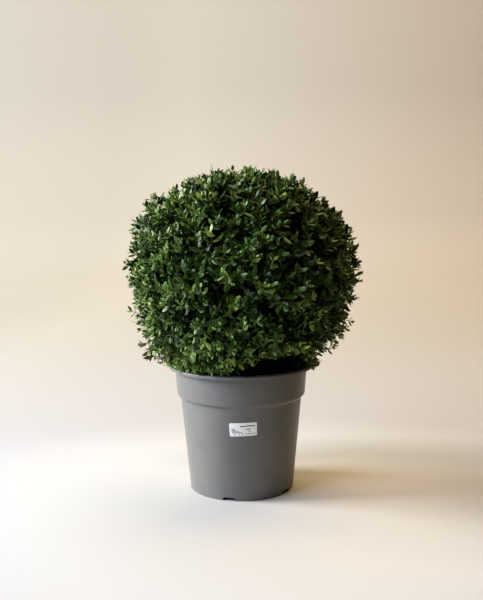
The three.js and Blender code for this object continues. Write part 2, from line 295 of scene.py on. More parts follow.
def rounded_section(
    corners: list[tuple[float, float, float]], steps: int = 5, support: float = 0.3
) -> np.ndarray:
    """A section line whose corners are rounded, with support points beside each rounding.

    Args:
        corners: Radius, height and rounding of each corner, in millimetres.
        steps: Points on each rounding.
        support: How far beyond a rounding its support points lie, as a share of the rounding.

    Returns:
        Radius and height of each point along the line, in metres.
    """
    places = np.array([corner[:2] for corner in corners], float)
    line = [places[0]]
    share = np.linspace(0, 1, steps)[:, None]
    for back, here, on, corner in zip(places, places[1:], places[2:], corners[1:]):
        from_back, to_on = unit(back - here) * corner[2], unit(on - here) * corner[2]
        start, end = here + from_back, here + to_on
        line += [start + from_back * support, *bezier([start, here, end], share), end + to_on * support]
    line.append(places[-1])
    return np.array(line) * MM


def tubes(
    paths: np.ndarray, radii: np.ndarray, sides: int, relief: np.ndarray | None = None
) -> tuple[np.ndarray, list[np.ndarray], list[np.ndarray]]:
    """Closed round tubes along many paths at once.

    Args:
        paths: Points of each path: tubes, places, 3.
        radii: Radius of each tube at each place.
        sides: Corners round a tube.
        relief: Factors on the radius: tubes, places, sides.

    Returns:
        The points, the faces and the surface coordinates, in metres round and along.
    """
    count, places, _ = paths.shape
    tangents = unit(np.gradient(paths, axis=1))
    axis = unit(paths[:, -1] - paths[:, 0])
    helper = np.where(np.abs(axis[:, 2:]) < 0.9, [[0.0, 0.0, 1.0]], [[1.0, 0.0, 0.0]])
    across = unit(np.cross(tangents, helper[:, None, :]))
    upright = np.cross(across, tangents)
    turn = (np.arange(sides) / sides * TURN)[:, None]
    spoke = across[:, :, None] * np.cos(turn) + upright[:, :, None] * np.sin(turn)
    reach = radii[:, :, None] * (1.0 if relief is None else relief)
    rings = paths[:, :, None] + spoke * reach[..., None]
    # A tube's ends are low cones: 0.3 of its radius at the start, 0.6 at the tip.
    ends = paths[:, [0, -1]] + tangents[:, [0, -1]] * (radii[:, [0, -1], None] * [[[-0.3], [0.6]]])
    points = np.concatenate([rings.reshape(-1, 3), ends.reshape(-1, 3)])
    tube = (np.arange(count) * places * sides)[:, None, None]
    place = (np.arange(places - 1) * sides)[:, None]
    side = np.arange(sides)
    beside = (side + 1) % sides
    low, low_beside = tube + place + side, tube + place + beside
    quads = np.stack([low, low + sides, low_beside + sides, low_beside], axis=-1).reshape(-1, 4)
    ring, ring_beside = tube[:, 0] + side, tube[:, 0] + beside
    start = np.broadcast_to(count * places * sides + np.arange(count)[:, None] * 2, ring.shape)
    last = (places - 1) * sides
    caps = [[start, ring, ring_beside], [start + 1, ring_beside + last, ring + last]]
    caps = np.concatenate([np.stack(cap, axis=-1).reshape(-1, 3) for cap in caps])
    run = np.cumsum(np.linalg.norm(np.diff(paths, axis=1, prepend=paths[:, :1]), axis=2), axis=1)
    girth = TURN * radii[:, :1]
    left = np.broadcast_to(side / sides * girth[..., None], (count, places - 1, sides))
    right = left + girth[..., None] / sides
    lower = np.broadcast_to(run[:, :-1, None], left.shape)
    upper = np.broadcast_to(run[:, 1:, None], left.shape)
    chart = np.stack([left, lower, left, upper, right, upper, right, lower], axis=-1)
    cap_chart = np.zeros((len(caps), 3, 2))
    return points, [quads, caps], [chart.reshape(-1, 4, 2), cap_chart]


# ---- Finishes ----


@dataclass(frozen=True)
class Mottle:
    """Uneven colour: noise of a real size, in millimetres, that runs through a few colours."""

    size: float
    detail: float
    roughness: float

    def add(
        self, tree: bpy.types.NodeTree, place: bpy.types.NodeSocket, stops: list
    ) -> tuple[bpy.types.NodeSocket, bpy.types.NodeSocket]:
        """Adds the noise and its colours.

        Args:
            tree: The material's tree.
            place: Where the noise is read.
            stops: Place and colour of each stop.

        Returns:
            The noise's strength, and the colour.
        """
        inputs = {"Vector": place, "Scale": per_metre(self.size)}
        inputs |= {"Detail": self.detail, "Roughness": self.roughness}
        noise = add_node(tree, "TexNoise", inputs)
        tone = add_node(tree, "ValToRGB", {"Fac": noise.outputs["Fac"]}, stops=stops)
        return noise.outputs["Fac"], tone.outputs["Color"]


@dataclass(frozen=True)
class MouldedPolypropylene:
    """Grey recycled polypropylene, injection moulded: an even satin skin with faint flow marks."""

    colour: str = "#74726b"
    dusty: str = "#7b7970"
    # Dust and rubbing: clouds of some centimetres, a little paler than the clean skin.
    dust: Mottle = Mottle(38.46, 5.0, 0.62)
    # The mould's fine texture, well under a millimetre: it breaks the highlights up softly.
    grain: float = 0.667
    grain_depth: float = 0.2
    roughness: float = 0.36
    cleanest: float = -0.05
    dustiest: float = 0.09
    ior: float = 1.49

    def material(self) -> bpy.types.Material:
        """Builds the node material."""
        material, tree = new_material("moulded polypropylene, satin grey")
        place = add_node(tree, "TexCoord").outputs["Object"]
        dust, tone = self.dust.add(tree, place, [(0.38, self.colour), (0.72, self.dusty)])
        low, high = self.roughness + self.cleanest, self.roughness + self.dustiest
        rough = add_node(
            tree, "MapRange", {"Value": dust, "From Min": 0.3, "From Max": 0.7, "To Min": low, "To Max": high}
        )
        grain = add_node(
            tree, "TexNoise", {"Vector": place, "Scale": per_metre(self.grain), "Detail": 2.0, "Roughness": 0.5}
        )
        bump = add_node(
            tree, "Bump", {"Height": grain.outputs["Fac"], "Strength": 0.12, "Distance": self.grain_depth * MM}
        )
        return end_material(material, tone, rough.outputs["Result"], self.ior, bump)


@dataclass(frozen=True)
class PottingMix:
    """Moist peat and bark potting mix: dark, matt, with paler fibres and crumbs."""

    wet: str = "#120d09"
    dry: str = "#33261b"
    fibre: str = "#5a4631"
    damp: Mottle = Mottle(6.25, 6.0, 0.7)
    # Crumbs of one to three millimetres, which catch the light one by one.
    crumb: float = 2.38
    crumb_depth: float = 1.5
    roughness: float = 0.95
    ior: float = 1.33

    def material(self) -> bpy.types.Material:
        """Builds the node material."""
        material, tree = new_material("potting mix, moist peat and bark")
        place = add_node(tree, "TexCoord").outputs["Object"]
        crumbs = add_node(tree, "TexVoronoi", {"Vector": place, "Scale": per_metre(self.crumb)})
        _, tone = self.damp.add(tree, place, [(0.36, self.wet), (0.6, self.dry), (0.78, self.fibre)])
        inputs = {"Height": crumbs.outputs["Distance"], "Strength": 0.7, "Distance": self.crumb_depth * MM}
        bump = add_node(tree, "Bump", inputs)
        return end_material(material, tone, self.roughness, self.ior, bump)


@dataclass(frozen=True)
class LabelStock:
    """Adhesive label paper with a thin coating, or the grey thermal print on it."""

    name: str
    colour: str
    stain: str
    # Slight handling stains, about a centimetre wide.
    stains: Mottle = Mottle(9.09, 4.0, 0.6)
    roughness: float = 0.5
    ior: float = 1.5

    def material(self) -> bpy.types.Material:
        """Builds the node material."""
        material, tree = new_material(self.name)
        place = add_node(tree, "TexCoord").outputs["Object"]
        _, tone = self.stains.add(tree, place, [(0.35, self.stain), (0.6, self.colour)])
        return end_material(material, tone, self.roughness, self.ior)


@dataclass(frozen=True)
class Bark:
    """Bark of box wood: corky and finely fissured on old limbs, smooth and green on young ones."""

    name: str
    ridge: str
    fissure: str
    relief: float
    roughness: float = 0.88
    ior: float = 1.4
    # Fissures are drawn out along the limb: their width, their length and their depth.
    fissure_width: float = 2.38
    fissure_length: float = 8.33
    fissure_depth: float = 0.8
    # The chart is already measured in fissures, so the noise has the size of its unit.
    fissures: Mottle = Mottle(1000.0, 5.0, 0.65)

    def material(self) -> bpy.types.Material:
        """Builds the node material."""
        material, tree = new_material(self.name)
        chart = add_node(tree, "TexCoord").outputs["UV"]
        size = (per_metre(self.fissure_width), per_metre(self.fissure_length), 1.0)
        drawn = add_node(tree, "Mapping", {"Vector": chart, "Scale": size})
        stops = [(0.34, self.fissure), (0.6, self.ridge)]
        depth, tone = self.fissures.add(tree, drawn.outputs["Vector"], stops)
        bump = add_node(
            tree, "Bump", {"Height": depth, "Strength": self.relief, "Distance": self.fissure_depth * MM}
        )
        return end_material(material, tone, self.roughness, self.ior, bump)


class LeafAge(Enum):
    """How old a spray's leaves are, or painted shade for the inner ones: upper side, midrib and underside
    colours.
    """

    # Painted shade: the inner leaves take a near-black colour that stands in for the shade inside the crown.
    SHADED = ("#030d01", "#051504", "#071703")
    OLD = ("#233a11", "#486227", "#455a28")
    DEEP = ("#35501c", "#657d38", "#5f7234")
    MATURE = ("#49672b", "#869e4d", "#7b8b49")
    FRESH = ("#68863e", "#aebd69", "#9eaa63")
    YOUNG = ("#84a147", "#bfcd76", "#a6b46f")
    FLUSH = ("#a5bf57", "#d6df92", "#b4c483")
    BRONZED = ("#5c5c2a", "#8c8c4c", "#7f7a45")


AGES = list(LeafAge)


@dataclass(frozen=True)
class BoxLeafSkin:
    """One side of a box leaf: leathery and waxed above, paler and matt below."""

    age: LeafAge
    upper: bool
    waxed_roughness: float = 0.4
    matt_roughness: float = 0.6
    ior: float = 1.4
    # Soft shifts of tone over a few leaves, so that no two neighbours match.
    shifts: Mottle = Mottle(13.33, 3.0, 0.6)
    darkest: float = 0.72
    # How strongly the midrib's colour shows on the margin and the midrib, and their widths there. The pale
    # margin is partly the leaf's own paler edge and partly a painted highlight along it.
    line: float = 0.9
    margin_and_edge_highlight: float = 0.16
    half_rib: float = 0.04

    @cache
    def material(self) -> bpy.types.Material:
        """Builds the node material, once for each age and side."""
        blade, rib, under = self.age.value
        side = "waxed upper side" if self.upper else "matt underside"
        material, tree = new_material(f"box leaf, {self.age.name.lower()}, {side}")
        place = add_node(tree, "TexCoord")
        ground = linear(blade if self.upper else under)
        darker = (*(self.darkest * part for part in ground[:3]), 1.0)
        _, colour = self.shifts.add(tree, place.outputs["Object"], [(0.36, darker), (0.62, ground)])
        if not self.upper:
            return end_material(material, colour, self.matt_roughness, self.ior)
        # A narrow paler midrib, and a pale margin that outlines every blade: partly the leaf's own paler edge,
        # partly a painted highlight.
        across = add_node(tree, "SeparateXYZ", {"Vector": place.outputs["UV"]})
        pale, plain = (self.line, self.line, self.line, 1.0), (0.0, 0.0, 0.0, 1.0)
        half = [(0.0, pale), (self.margin_and_edge_highlight, plain), (0.5 - self.half_rib, plain)]
        stops = [*half, (0.5, pale), *((1 - at, tint) for at, tint in reversed(half))]
        lines = add_node(tree, "ValToRGB", {"Fac": across.outputs["X"]}, stops=stops)
        inputs = {"Factor": lines.outputs["Color"], 6: colour, 7: linear(rib)}
        mixed = add_node(tree, "Mix", inputs, {"data_type": "RGBA"})
        return end_material(material, mixed.outputs[2], self.waxed_roughness, self.ior)


@dataclass(frozen=True)
class Spot:
    """A soft oval patch on the floor: its middle and half its size, in metres."""

    middle: tuple[float, float]
    size: tuple[float, float]

    def add(self, tree: bpy.types.NodeTree, place: bpy.types.NodeSocket) -> bpy.types.NodeSocket:
        """Adds the patch, which is 1 in its middle and falls evenly to 0 at its edge."""
        inputs = {"Vector": place, "Location": (*self.middle, 0.0), "Scale": (*self.size, 2.0)}
        spread = add_node(tree, "Mapping", inputs, {"vector_type": "TEXTURE"})
        inputs = {"Vector": spread.outputs["Vector"]}
        return add_node(tree, "TexGradient", inputs, {"gradient_type": "SPHERICAL"}).outputs["Fac"]


@dataclass(frozen=True)
class StudioPaper:
    """Matt backdrop paper, uncoated: white underfoot, shading to warm beige behind, with painted light and
    shade round the pot.
    """

    # Painted light: a pale pool painted on the floor just in front and to the right of the pot.
    glow: Spot = Spot((0.06, -0.14), (0.7, 0.6))
    # Painted shadow: where the crown's shadow runs out on the right, the paper is painted a little greyer.
    beside: Spot = Spot((0.46, -0.16), (0.4, 0.26))
    # Painted shade dims the paper gently just behind that shadow, and painted light makes it a little paler and
    # warmer within it.
    painted_shade_behind_shadow: Spot = Spot((0.22, 0.17), (0.42, 0.14))
    painted_light_in_shadow: Spot = Spot((0.2, 0.0), (0.32, 0.17))
    painted_warm_fill: tuple[float, float, float, float] = (0.2, 0.15, 0.12, 1.0)
    slant: float = -0.24
    roughness: float = 0.75
    ior: float = 1.4

    @staticmethod
    def shade(
        tree: bpy.types.NodeTree, place: bpy.types.NodeSocket, ends: tuple[float, float], stops: list
    ) -> bpy.types.NodeSocket:
        """A colour that changes along one coordinate.

        Args:
            tree: The material's tree.
            place: The coordinate.
            ends: Where the change starts and ends.
            stops: Share of the way and colour of each stop.

        Returns:
            The colour's socket.
        """
        share = add_node(tree, "MapRange", {"Value": place, "From Min": ends[0], "From Max": ends[1]})
        ramp = add_node(tree, "ValToRGB", {"Fac": share.outputs["Result"]}, stops=stops)
        return ramp.outputs["Color"]

    def material(self) -> bpy.types.Material:
        """Builds the node material: shades, partly painted light and shade, that are multiplied with one
        another.
        """
        material, tree = new_material("studio paper, white shading to beige")
        place = add_node(tree, "TexCoord").outputs["Object"]
        split = add_node(tree, "SeparateXYZ", {"Vector": place})
        x, y = split.outputs["X"], split.outputs["Y"]
        slant = add_node(tree, "Math", {0: y, 1: self.slant, 2: x}, {"operation": "MULTIPLY_ADD"})
        far = [(0.0, "#eeeff1"), (0.06, "#ebe9e8"), (0.35, "#e8e4da"), (1.0, "#f3e8d5")]
        left = [(0.0, "#dbdddc"), (0.19, "#e2e4e4"), (0.29, "#eceeee"), (0.43, "#ecedee")]
        right = [(0.54, "#ecebe9"), (0.7, "#e8e4e1"), (0.83, "#b4aca2"), (1.0, "#8e867b")]
        front = [(0.0, "#8e867b"), (0.5, "#c0b8ae"), (1.0, "#ffffff")]
        glow = [(0.0, "#e0e0e3"), (0.55, "#f3f3f1"), (1.0, "#fffaf0")]
        # Beige starts behind the pot and deepens with the distance.
        behind = self.shade(tree, y, (0.22, 3.4), far)
        # Painted light: a warm colour is added within the crown's shadow, so that the shadow is paler than the
        # lamps leave it.
        inputs = {"Factor": self.painted_light_in_shadow.add(tree, place), 6: behind, 7: self.painted_warm_fill}
        tone = add_node(tree, "Mix", inputs, {"data_type": "RGBA", "blend_type": "ADD"}).outputs[2]
        # Painted shade: the paper is darker towards the right and in front of the lit place, and the spots
        # paint a pool of light before the pot and shade beside and behind the crown's shadow.
        for socket, ends, stops in (
            (slant.outputs["Value"], (-2.0, 1.5), left + right),
            (y, (-1.5, -0.5), front),
            (self.glow.add(tree, place), (0.0, 0.75), glow),
            (self.beside.add(tree, place), (0.0, 0.8), [(0.0, "#ffffff"), (1.0, "#ededed")]),
            (self.painted_shade_behind_shadow.add(tree, place), (0.0, 0.85), [(0.0, "#ffffff"), (1.0, "#dedcda")]),
        ):
            inputs = {"Factor": 1.0, 6: tone, 7: self.shade(tree, socket, ends, stops)}
            tone = add_node(tree, "Mix", inputs, {"data_type": "RGBA", "blend_type": "MULTIPLY"}).outputs[2]
        return end_material(material, tone, self.roughness, self.ior)


# ---- Pot ----


@dataclass
class NurseryPot:
    """The moulded pot: a tapered body, a shoulder, a collar and an out-turned lip."""

    height: float = 220.0
    wall: float = 2.0
    lip_radius: float = 125.0
    lip_skirt: float = 5.4
    collar_top: float = 114.2
    collar_foot: float = 110.7
    collar_foot_height: float = 167.0
    shoulder_radius: float = 104.8
    shoulder_height: float = 163.0
    foot_radius: float = 89.6
    foot_ring: float = 4.0
    seat_radius: float = 58.0
    channel_height: float = 6.0
    channel_slope: float = 3.0
    notches: int = 5
    first_notch: float = -14.3
    notch_width: float = 21.0
    notch_height: float = 5.6
    notch_corner: float = 1.8
    hole_radius: float = 5.0
    hole_distance: float = 73.0
    drill: tuple[float, float] = (4.0, 10.0)
    rounds: int = 240
    finish: MouldedPolypropylene = field(default_factory=MouldedPolypropylene)

    def body_radius(self, height: np.ndarray | float) -> np.ndarray | float:
        """The body's outer radius at a height below the shoulder, in millimetres."""
        return self.foot_radius + (self.shoulder_radius - self.foot_radius) * height / self.shoulder_height

    def collar_radius(self, height: float) -> float:
        """The collar's outer radius at a height above the step, in millimetres."""
        share = (height - self.collar_foot_height) / (self.height - self.wall - self.collar_foot_height)
        return self.collar_foot + (self.collar_top - self.collar_foot) * share

    def section(self) -> np.ndarray:
        """The section up the outside from the middle of the underside, and back down inside."""
        ring, floor_top = self.foot_radius - self.foot_ring, self.channel_height + self.wall
        seat, slope, skirt = self.seat_radius, self.channel_slope, self.height - self.lip_skirt
        top, wall, lip = self.height, self.wall, self.lip_radius
        return rounded_section(
            [
                (0, 0, 0),
                (seat, 0, 0.8),
                (seat + slope, self.channel_height, 0.8),
                (ring - slope / 2, self.channel_height, 0.8),
                (ring, 0, 0.5),
                (self.foot_radius, 0, 1.2),
                (self.shoulder_radius, self.shoulder_height, 2.4),
                (self.collar_foot, self.collar_foot_height, 2.4),
                (self.collar_top, top - wall, 1.0),
                (lip - wall, top - wall, 0.4),
                (lip - wall, skirt, 0.5),
                (lip, skirt, 0.6),
                (lip, top, 1.7),
                (self.collar_top - 0.6, top, 1.2),
                (self.collar_top - wall, top - wall - 1, 1.0),
                (self.collar_foot - wall, self.collar_foot_height, 1.5),
                (self.shoulder_radius - wall, self.shoulder_height, 2.0),
                (self.body_radius(floor_top) - wall, floor_top, 1.0),
                (seat - wall / 2 + slope, floor_top, 0.5),
                (seat - wall / 2, wall, 0.5),
                (0, wall, 0),
            ]
        )

    def notch_middles(self) -> np.ndarray:
        """The notches' azimuths, in radians."""
        return np.radians(self.first_notch + 360 / self.notches * np.arange(self.notches))

    def azimuths(self) -> np.ndarray:
        """Azimuths of the grid's columns: even, and close together at the notches' sides."""
        even = np.linspace(-math.pi, math.pi, self.rounds, endpoint=False)
        half, corner = self.notch_width / 2, self.notch_corner
        # Two columns 0.02 mm apart make the notch's upright side, three more its rounded corner.
        sides = half + np.array([0.01, -0.01, -0.15 * corner, -0.5 * corner, -corner])
        offsets = np.concatenate([-sides, sides]) / self.foot_radius
        close = (self.notch_middles()[:, None] + offsets + math.pi) % TURN - math.pi
        return np.sort(np.concatenate([even, close.ravel()]))

    def notch_rise(self, azimuths: np.ndarray) -> np.ndarray:
        """How far the foot is cut away at each azimuth: flat-topped notches with rounded corners."""
        step = TURN / self.notches
        away = (azimuths - math.radians(self.first_notch) + step / 2) % step - step / 2
        across = np.abs(away) * self.foot_radius
        inset = self.notch_width / 2 - self.notch_corner
        rounding = np.sqrt(np.clip(self.notch_corner**2 - np.clip(across - inset, 0, None) ** 2, 0, None))
        rise = self.notch_height - self.notch_corner + rounding
        return np.where(across < self.notch_width / 2, rise, 0.0)

    def build(self) -> None:
        """Builds the pot with its notches and drain holes, and dresses it."""
        line, azimuths = self.section(), self.azimuths()
        radii, heights = (np.tile(line[1:-1, column], (len(azimuths), 1)) for column in (0, 1))
        rise = self.notch_rise(azimuths)[:, None] * MM
        inside = self.foot_radius - self.foot_ring - self.channel_slope / 2
        foot = (heights < rise) & (radii > (inside - 0.1) * MM)
        outer = radii > (self.foot_radius - self.wall) * MM
        drift = (self.shoulder_radius - self.foot_radius) / self.shoulder_height
        radii = np.where(foot & outer, radii + (rise - heights) * drift, radii)
        heights = np.where(foot, rise, heights)
        points, faces = turned_grid(radii, heights, azimuths, (0.0, self.wall * MM))
        pot = mesh_object("pot_body", points, faces, [self.finish.material()], sharp_angle=50)
        self.cut_drain_holes(pot)
        hand_over(pot, "pot")

    def cut_drain_holes(self, pot: bpy.types.Object) -> None:
        """Cuts the round drain holes through the raised floor, in line with the notches.

        Args:
            pot: The pot's mesh object, which is changed.
        """
        ends = [around(self.hole_distance, self.notch_middles(), height) for height in self.drill]
        paths = np.stack(ends, axis=1) * MM
        points, faces, _ = tubes(paths, np.full(paths.shape[:2], self.hole_radius * MM), 32)
        bars = mesh_object("drain_bars", points, faces, [])
        cut = pot.modifiers.new("drain", "BOOLEAN")
        cut.object, cut.operation, cut.solver = bars, "DIFFERENCE", "EXACT"
        shown = pot.evaluated_get(bpy.context.evaluated_depsgraph_get())
        drilled = bpy.data.meshes.new_from_object(shown)
        pot.modifiers.clear()
        plain, pot.data = pot.data, drilled
        drilled.name = "pot_body"
        bpy.data.meshes.remove(plain)
        bpy.data.objects.remove(bars)


# ---- Soil ----


@dataclass
class PottingMixFill:
    """The fill of the pot: it follows the pot's inside and is rough and crumbly on top."""

    pot: NurseryPot
    edge_height: float = 201.0
    middle_height: float = 205.0
    gap: float = 0.3
    # Inside the first radius the soil is level, inside the second its lumps fade.
    level_radius: float = 32.0
    calm_radius: float = 30.0
    # The lumps' height, their width and the pattern's seed.
    lumps: tuple[tuple[float, float, int], ...] = ((0.9, 31.0, 5), (0.55, 11.0, 6))
    crumbs: int = 700
    crumb_half: tuple[float, float] = (1.0, 2.6)
    spread: float = 106.0
    rounds: int = 220
    rings: int = 70
    seed: int = 31
    finish: PottingMix = field(default_factory=PottingMix)

    def surface_height(self, x: np.ndarray, y: np.ndarray) -> np.ndarray:
        """The soil's height in metres: slightly crowned, with lumps of one to three centimetres."""
        radius = np.hypot(x, y) / MM
        edge = self.pot.collar_radius(self.edge_height) - self.pot.wall
        share = np.clip((radius - self.level_radius) / (edge - self.level_radius), 0, 1)
        crown = self.middle_height + (self.edge_height - self.middle_height) * share**1.3
        places = np.stack([x, y, np.zeros_like(x)], axis=-1)
        lumps = sum(height * ripples(places, width * MM, seed) for height, width, seed in self.lumps)
        return (crown + lumps * np.clip(radius / self.calm_radius, 0, 1)) * MM

    def build(self) -> None:
        """Builds the fill with its crumbs, and dresses it."""
        material = self.finish.material()
        points, faces = self.fill()
        hand_over(mesh_object("potting_mix", points, faces, [material]), "soil")
        points, faces = self.loose_crumbs()
        crumbs = mesh_object("potting_mix_crumbs", points, faces, [material], sharp_angle=180)
        hand_over(crumbs, "soil")

    def fill(self) -> tuple[np.ndarray, list[np.ndarray]]:
        """The body of the fill as points and faces."""
        pot, inset = self.pot, self.pot.wall + self.gap
        floor_top = pot.channel_height + inset
        edge = pot.collar_radius(self.edge_height) - inset
        below = rounded_section(
            [
                (0, inset, 0),
                (pot.seat_radius - pot.wall, inset, 0.4),
                (pot.seat_radius - pot.wall + pot.channel_slope, floor_top, 0.4),
                (pot.body_radius(floor_top) - inset, floor_top, 0.6),
                (pot.shoulder_radius - inset, pot.shoulder_height, 2),
                (pot.collar_foot - inset, pot.collar_foot_height, 2),
                (edge, self.edge_height - 3, 0),
            ]
        )
        azimuths = np.linspace(-math.pi, math.pi, self.rounds, endpoint=False)
        across = np.linspace(edge, 1.2, self.rings) * MM
        x, y, _ = np.moveaxis(around(across, azimuths[:, None], 0.0), -1, 0)
        radii = np.tile(np.concatenate([below[1:, 0], across]), (self.rounds, 1))
        low = np.tile(below[1:, 1], (self.rounds, 1))
        heights = np.concatenate([low, self.surface_height(x, y)], axis=1)
        return turned_grid(radii, heights, azimuths, (inset * MM, self.middle_height * MM))

    def loose_crumbs(self) -> tuple[np.ndarray, list[np.ndarray]]:
        """Crumbs and bark chips of two to six millimetres, lying half in the surface."""
        random, count = np.random.default_rng(self.seed), self.crumbs
        radius = np.sqrt(random.uniform(0.08, 0.98, count)) * self.spread * MM
        turn = random.uniform(0, TURN, count)
        x, y = radius * np.cos(turn), radius * np.sin(turn)
        seats = np.stack([x, y, self.surface_height(x, y)], axis=1)
        corners = unit(np.array([[i, j, k] for i in (-1, 1) for j in (-1, 1) for k in (-1, 1)], float))
        shape = corners[None] * random.uniform(0.7, 1.3, (count, 8, 1))
        size = random.uniform(*self.crumb_half, (count, 1, 1)) * random.uniform(0.5, 1.3, (count, 1, 3)) * MM
        spin = random.uniform(0, TURN, (count, 1))
        along, across, up = np.moveaxis(shape * size, -1, 0)
        cosine, sine = np.cos(spin), np.sin(spin)
        turned = np.stack([along * cosine - across * sine, along * sine + across * cosine, up], axis=-1)
        points = (turned + seats[:, None]).reshape(-1, 3)
        block = np.array([[0, 1, 3, 2], [4, 6, 7, 5], [0, 4, 5, 1], [2, 3, 7, 6], [0, 2, 6, 4], [1, 5, 7, 3]])
        faces = (block[None] + np.arange(count)[:, None, None] * 8).reshape(-1, 4)
        return points, [faces]


# ---- Label ----


@dataclass
class PriceLabel:
    """A rounded paper label on the pot's front, with plain printed bars."""

    pot: NurseryPot
    width: float = 46.0
    height: float = 23.0
    thickness: float = 0.16
    corner: float = 2.2
    azimuth: float = 1.7
    middle_height: float = 127.0
    tilt: float = 1.5
    grid: tuple[int, int] = (33, 15)
    back: float = 0.04
    print_back: float = 0.1
    print_proud: float = 0.02
    print_corner: float = 0.25
    paper: LabelStock = LabelStock("label paper, coated white", "#fffeef", "#fdf8e9")
    ink: LabelStock = LabelStock("thermal print, grey", "#3c3b3d", "#4b4a4b")
    # Middle across, middle up, width and height of each printed bar.
    bars: tuple[tuple[float, float, float, float], ...] = (
        (-0.9, 5.5, 8.6, 1.7),
        (12.0, 6.1, 15.0, 1.6),
        (-17.0, 1.2, 6.0, 0.9),
        (-16.0, -1.0, 7.0, 1.1),
        (-13.5, -3.2, 12.0, 0.9),
        (-10.5, -5.0, 17.0, 0.9),
        (8.0, 0.4, 8.5, 1.2),
        (11.0, -3.4, 4.0, 0.9),
        (-14.0, -8.0, 2.4, 1.5),
        (-7.0, -8.0, 1.4, 1.5),
        (-1.5, -7.7, 1.8, 2.1),
        (4.5, -7.7, 2.0, 1.4),
        (9.5, -7.5, 3.8, 1.2),
        (14.6, -7.4, 2.2, 1.4),
        (18.6, -7.3, 1.8, 1.2),
    )

    def on_pot(self, across: np.ndarray, upwards: np.ndarray, proud: float) -> np.ndarray:
        """Wraps flat label coordinates round the pot's wall.

        Args:
            across: Millimetres from the label's middle, to the right.
            upwards: Millimetres from the label's middle, up.
            proud: How far the points stand off the wall, in millimetres.

        Returns:
            The places in metres.
        """
        tilt = math.radians(self.tilt)
        along = across * math.cos(tilt) - upwards * math.sin(tilt)
        level = self.middle_height + across * math.sin(tilt) + upwards * math.cos(tilt)
        radius = self.pot.body_radius(level) + proud
        turn = math.radians(self.azimuth) + along / self.pot.body_radius(self.middle_height)
        return around(radius, turn, level) * MM

    def plate(
        self, bar: tuple[float, float, float, float], corner: float, proud: tuple[float, float]
    ) -> tuple[np.ndarray, list[np.ndarray]]:
        """A thin closed plate with rounded corners, bent round the wall.

        Args:
            bar: Its middle across and up from the label's middle, its width and its height.
            corner: The corners' radius.
            proud: How far its back and its front stand off the wall.

        Returns:
            The points and the faces.
        """
        columns, rows = self.grid
        half_width, half_height = bar[2] / 2, bar[3] / 2
        up = np.sin(np.linspace(-math.pi / 2, math.pi / 2, rows)) * half_height
        over = np.clip(np.abs(up) - (half_height - corner), 0, corner)
        inset = corner - np.sqrt(corner**2 - over**2)
        across = np.linspace(-1, 1, columns)[None] * (half_width - inset)[:, None]
        upwards = np.broadcast_to(up[:, None], across.shape)
        layers = [self.on_pot(across + bar[0], upwards + bar[1], off) for off in proud]
        points = np.concatenate([layer.reshape(-1, 3) for layer in layers])
        step = rows * columns
        row, column = np.arange(rows - 1)[:, None], np.arange(columns - 1)[None]
        low = row * columns + column
        back = np.stack([low, low + columns, low + columns + 1, low + 1], axis=-1).reshape(-1, 4)
        front = back[:, ::-1] + step
        left, bottom = np.arange(rows) * columns, np.arange(columns)
        right, top = left + columns - 1, bottom + (rows - 1) * columns
        rim = np.concatenate([bottom, right[1:], top[::-1][1:], left[::-1][1:]])
        side = np.stack([rim[:-1], rim[1:], rim[1:] + step, rim[:-1] + step], axis=1)
        return points, [np.concatenate([back, front, side])]

    def build(self) -> None:
        """Builds the label and its print, and dresses them."""
        front = self.back + self.thickness
        points, faces = self.plate((0, 0, self.width, self.height), self.corner, (self.back, front))
        hand_over(mesh_object("label_paper", points, faces, [self.paper.material()]), "label")
        off = (self.print_back, front + self.print_proud)
        plates = [self.plate(bar, self.print_corner, off) for bar in self.bars]
        offsets = np.cumsum([0] + [len(points) for points, _ in plates[:-1]])
        points = np.concatenate([points for points, _ in plates])
        faces = [np.concatenate([quads[0] + offset for (_, quads), offset in zip(plates, offsets)])]
        hand_over(mesh_object("label_print", points, faces, [self.ink.material()]), "label")


# ---- Trunk ----


@dataclass
class Trunk:
    """The short stem: it stands on the soil with a flare of root ridges and leans a little."""

    foot: float = 205.3
    foot_radius: float = 18.0
    neck_radius: float = 12.0
    tip_radius: float = 10.0
    flare_height: float = 8.0
    length: float = 46.0
    lean: tuple[float, float] = (4.0, 2.0)
    roots: int = 5
    root_depth: float = 0.2
    # The cork's ridges: their share of the radius, their width and the pattern's seed.
    cork: tuple[tuple[float, float, int], ...] = ((0.03, 5.0, 11), (0.02, 2.2, 12))
    places: int = 60
    sides: int = 90

    def middle(self, share: np.ndarray | float) -> np.ndarray:
        """The trunk's middle at a share of its length, in millimetres."""
        share = np.asarray(share, float)
        lean = share**1.5
        return np.stack([self.lean[0] * lean, self.lean[1] * lean, self.foot + self.length * share], axis=-1)

    def build(self, bark: bpy.types.Material) -> None:
        """Builds the trunk with the bark's relief, and dresses it.

        Args:
            bark: The old bark.
        """
        share = np.linspace(0, 1, self.places)
        flare = np.exp(-share * self.length / self.flare_height)
        taper = self.neck_radius + (self.tip_radius - self.neck_radius) * share
        radius = taper + (self.foot_radius - self.neck_radius) * flare
        turn = np.arange(self.sides) / self.sides * TURN
        ridges = 1 + self.root_depth * flare[:, None] * np.cos(self.roots * turn)
        middle = self.middle(share)
        # The cork's ridges are drawn out along the stem to three times their width.
        drawn = np.broadcast_to(middle[:, 2:] * 0.35, (self.places, self.sides))
        spots = np.stack([np.cos(turn) * radius[:, None], np.sin(turn) * radius[:, None], drawn], axis=-1)
        cork = sum(share * ripples(spots, width, seed) for share, width, seed in self.cork)
        points, faces, charts = tubes(middle[None] * MM, radius[None] * MM, self.sides, (ridges + cork)[None])
        hand_over(mesh_object("trunk_bark", points, faces, [bark], charts), "trunk")


# ---- Crown ----


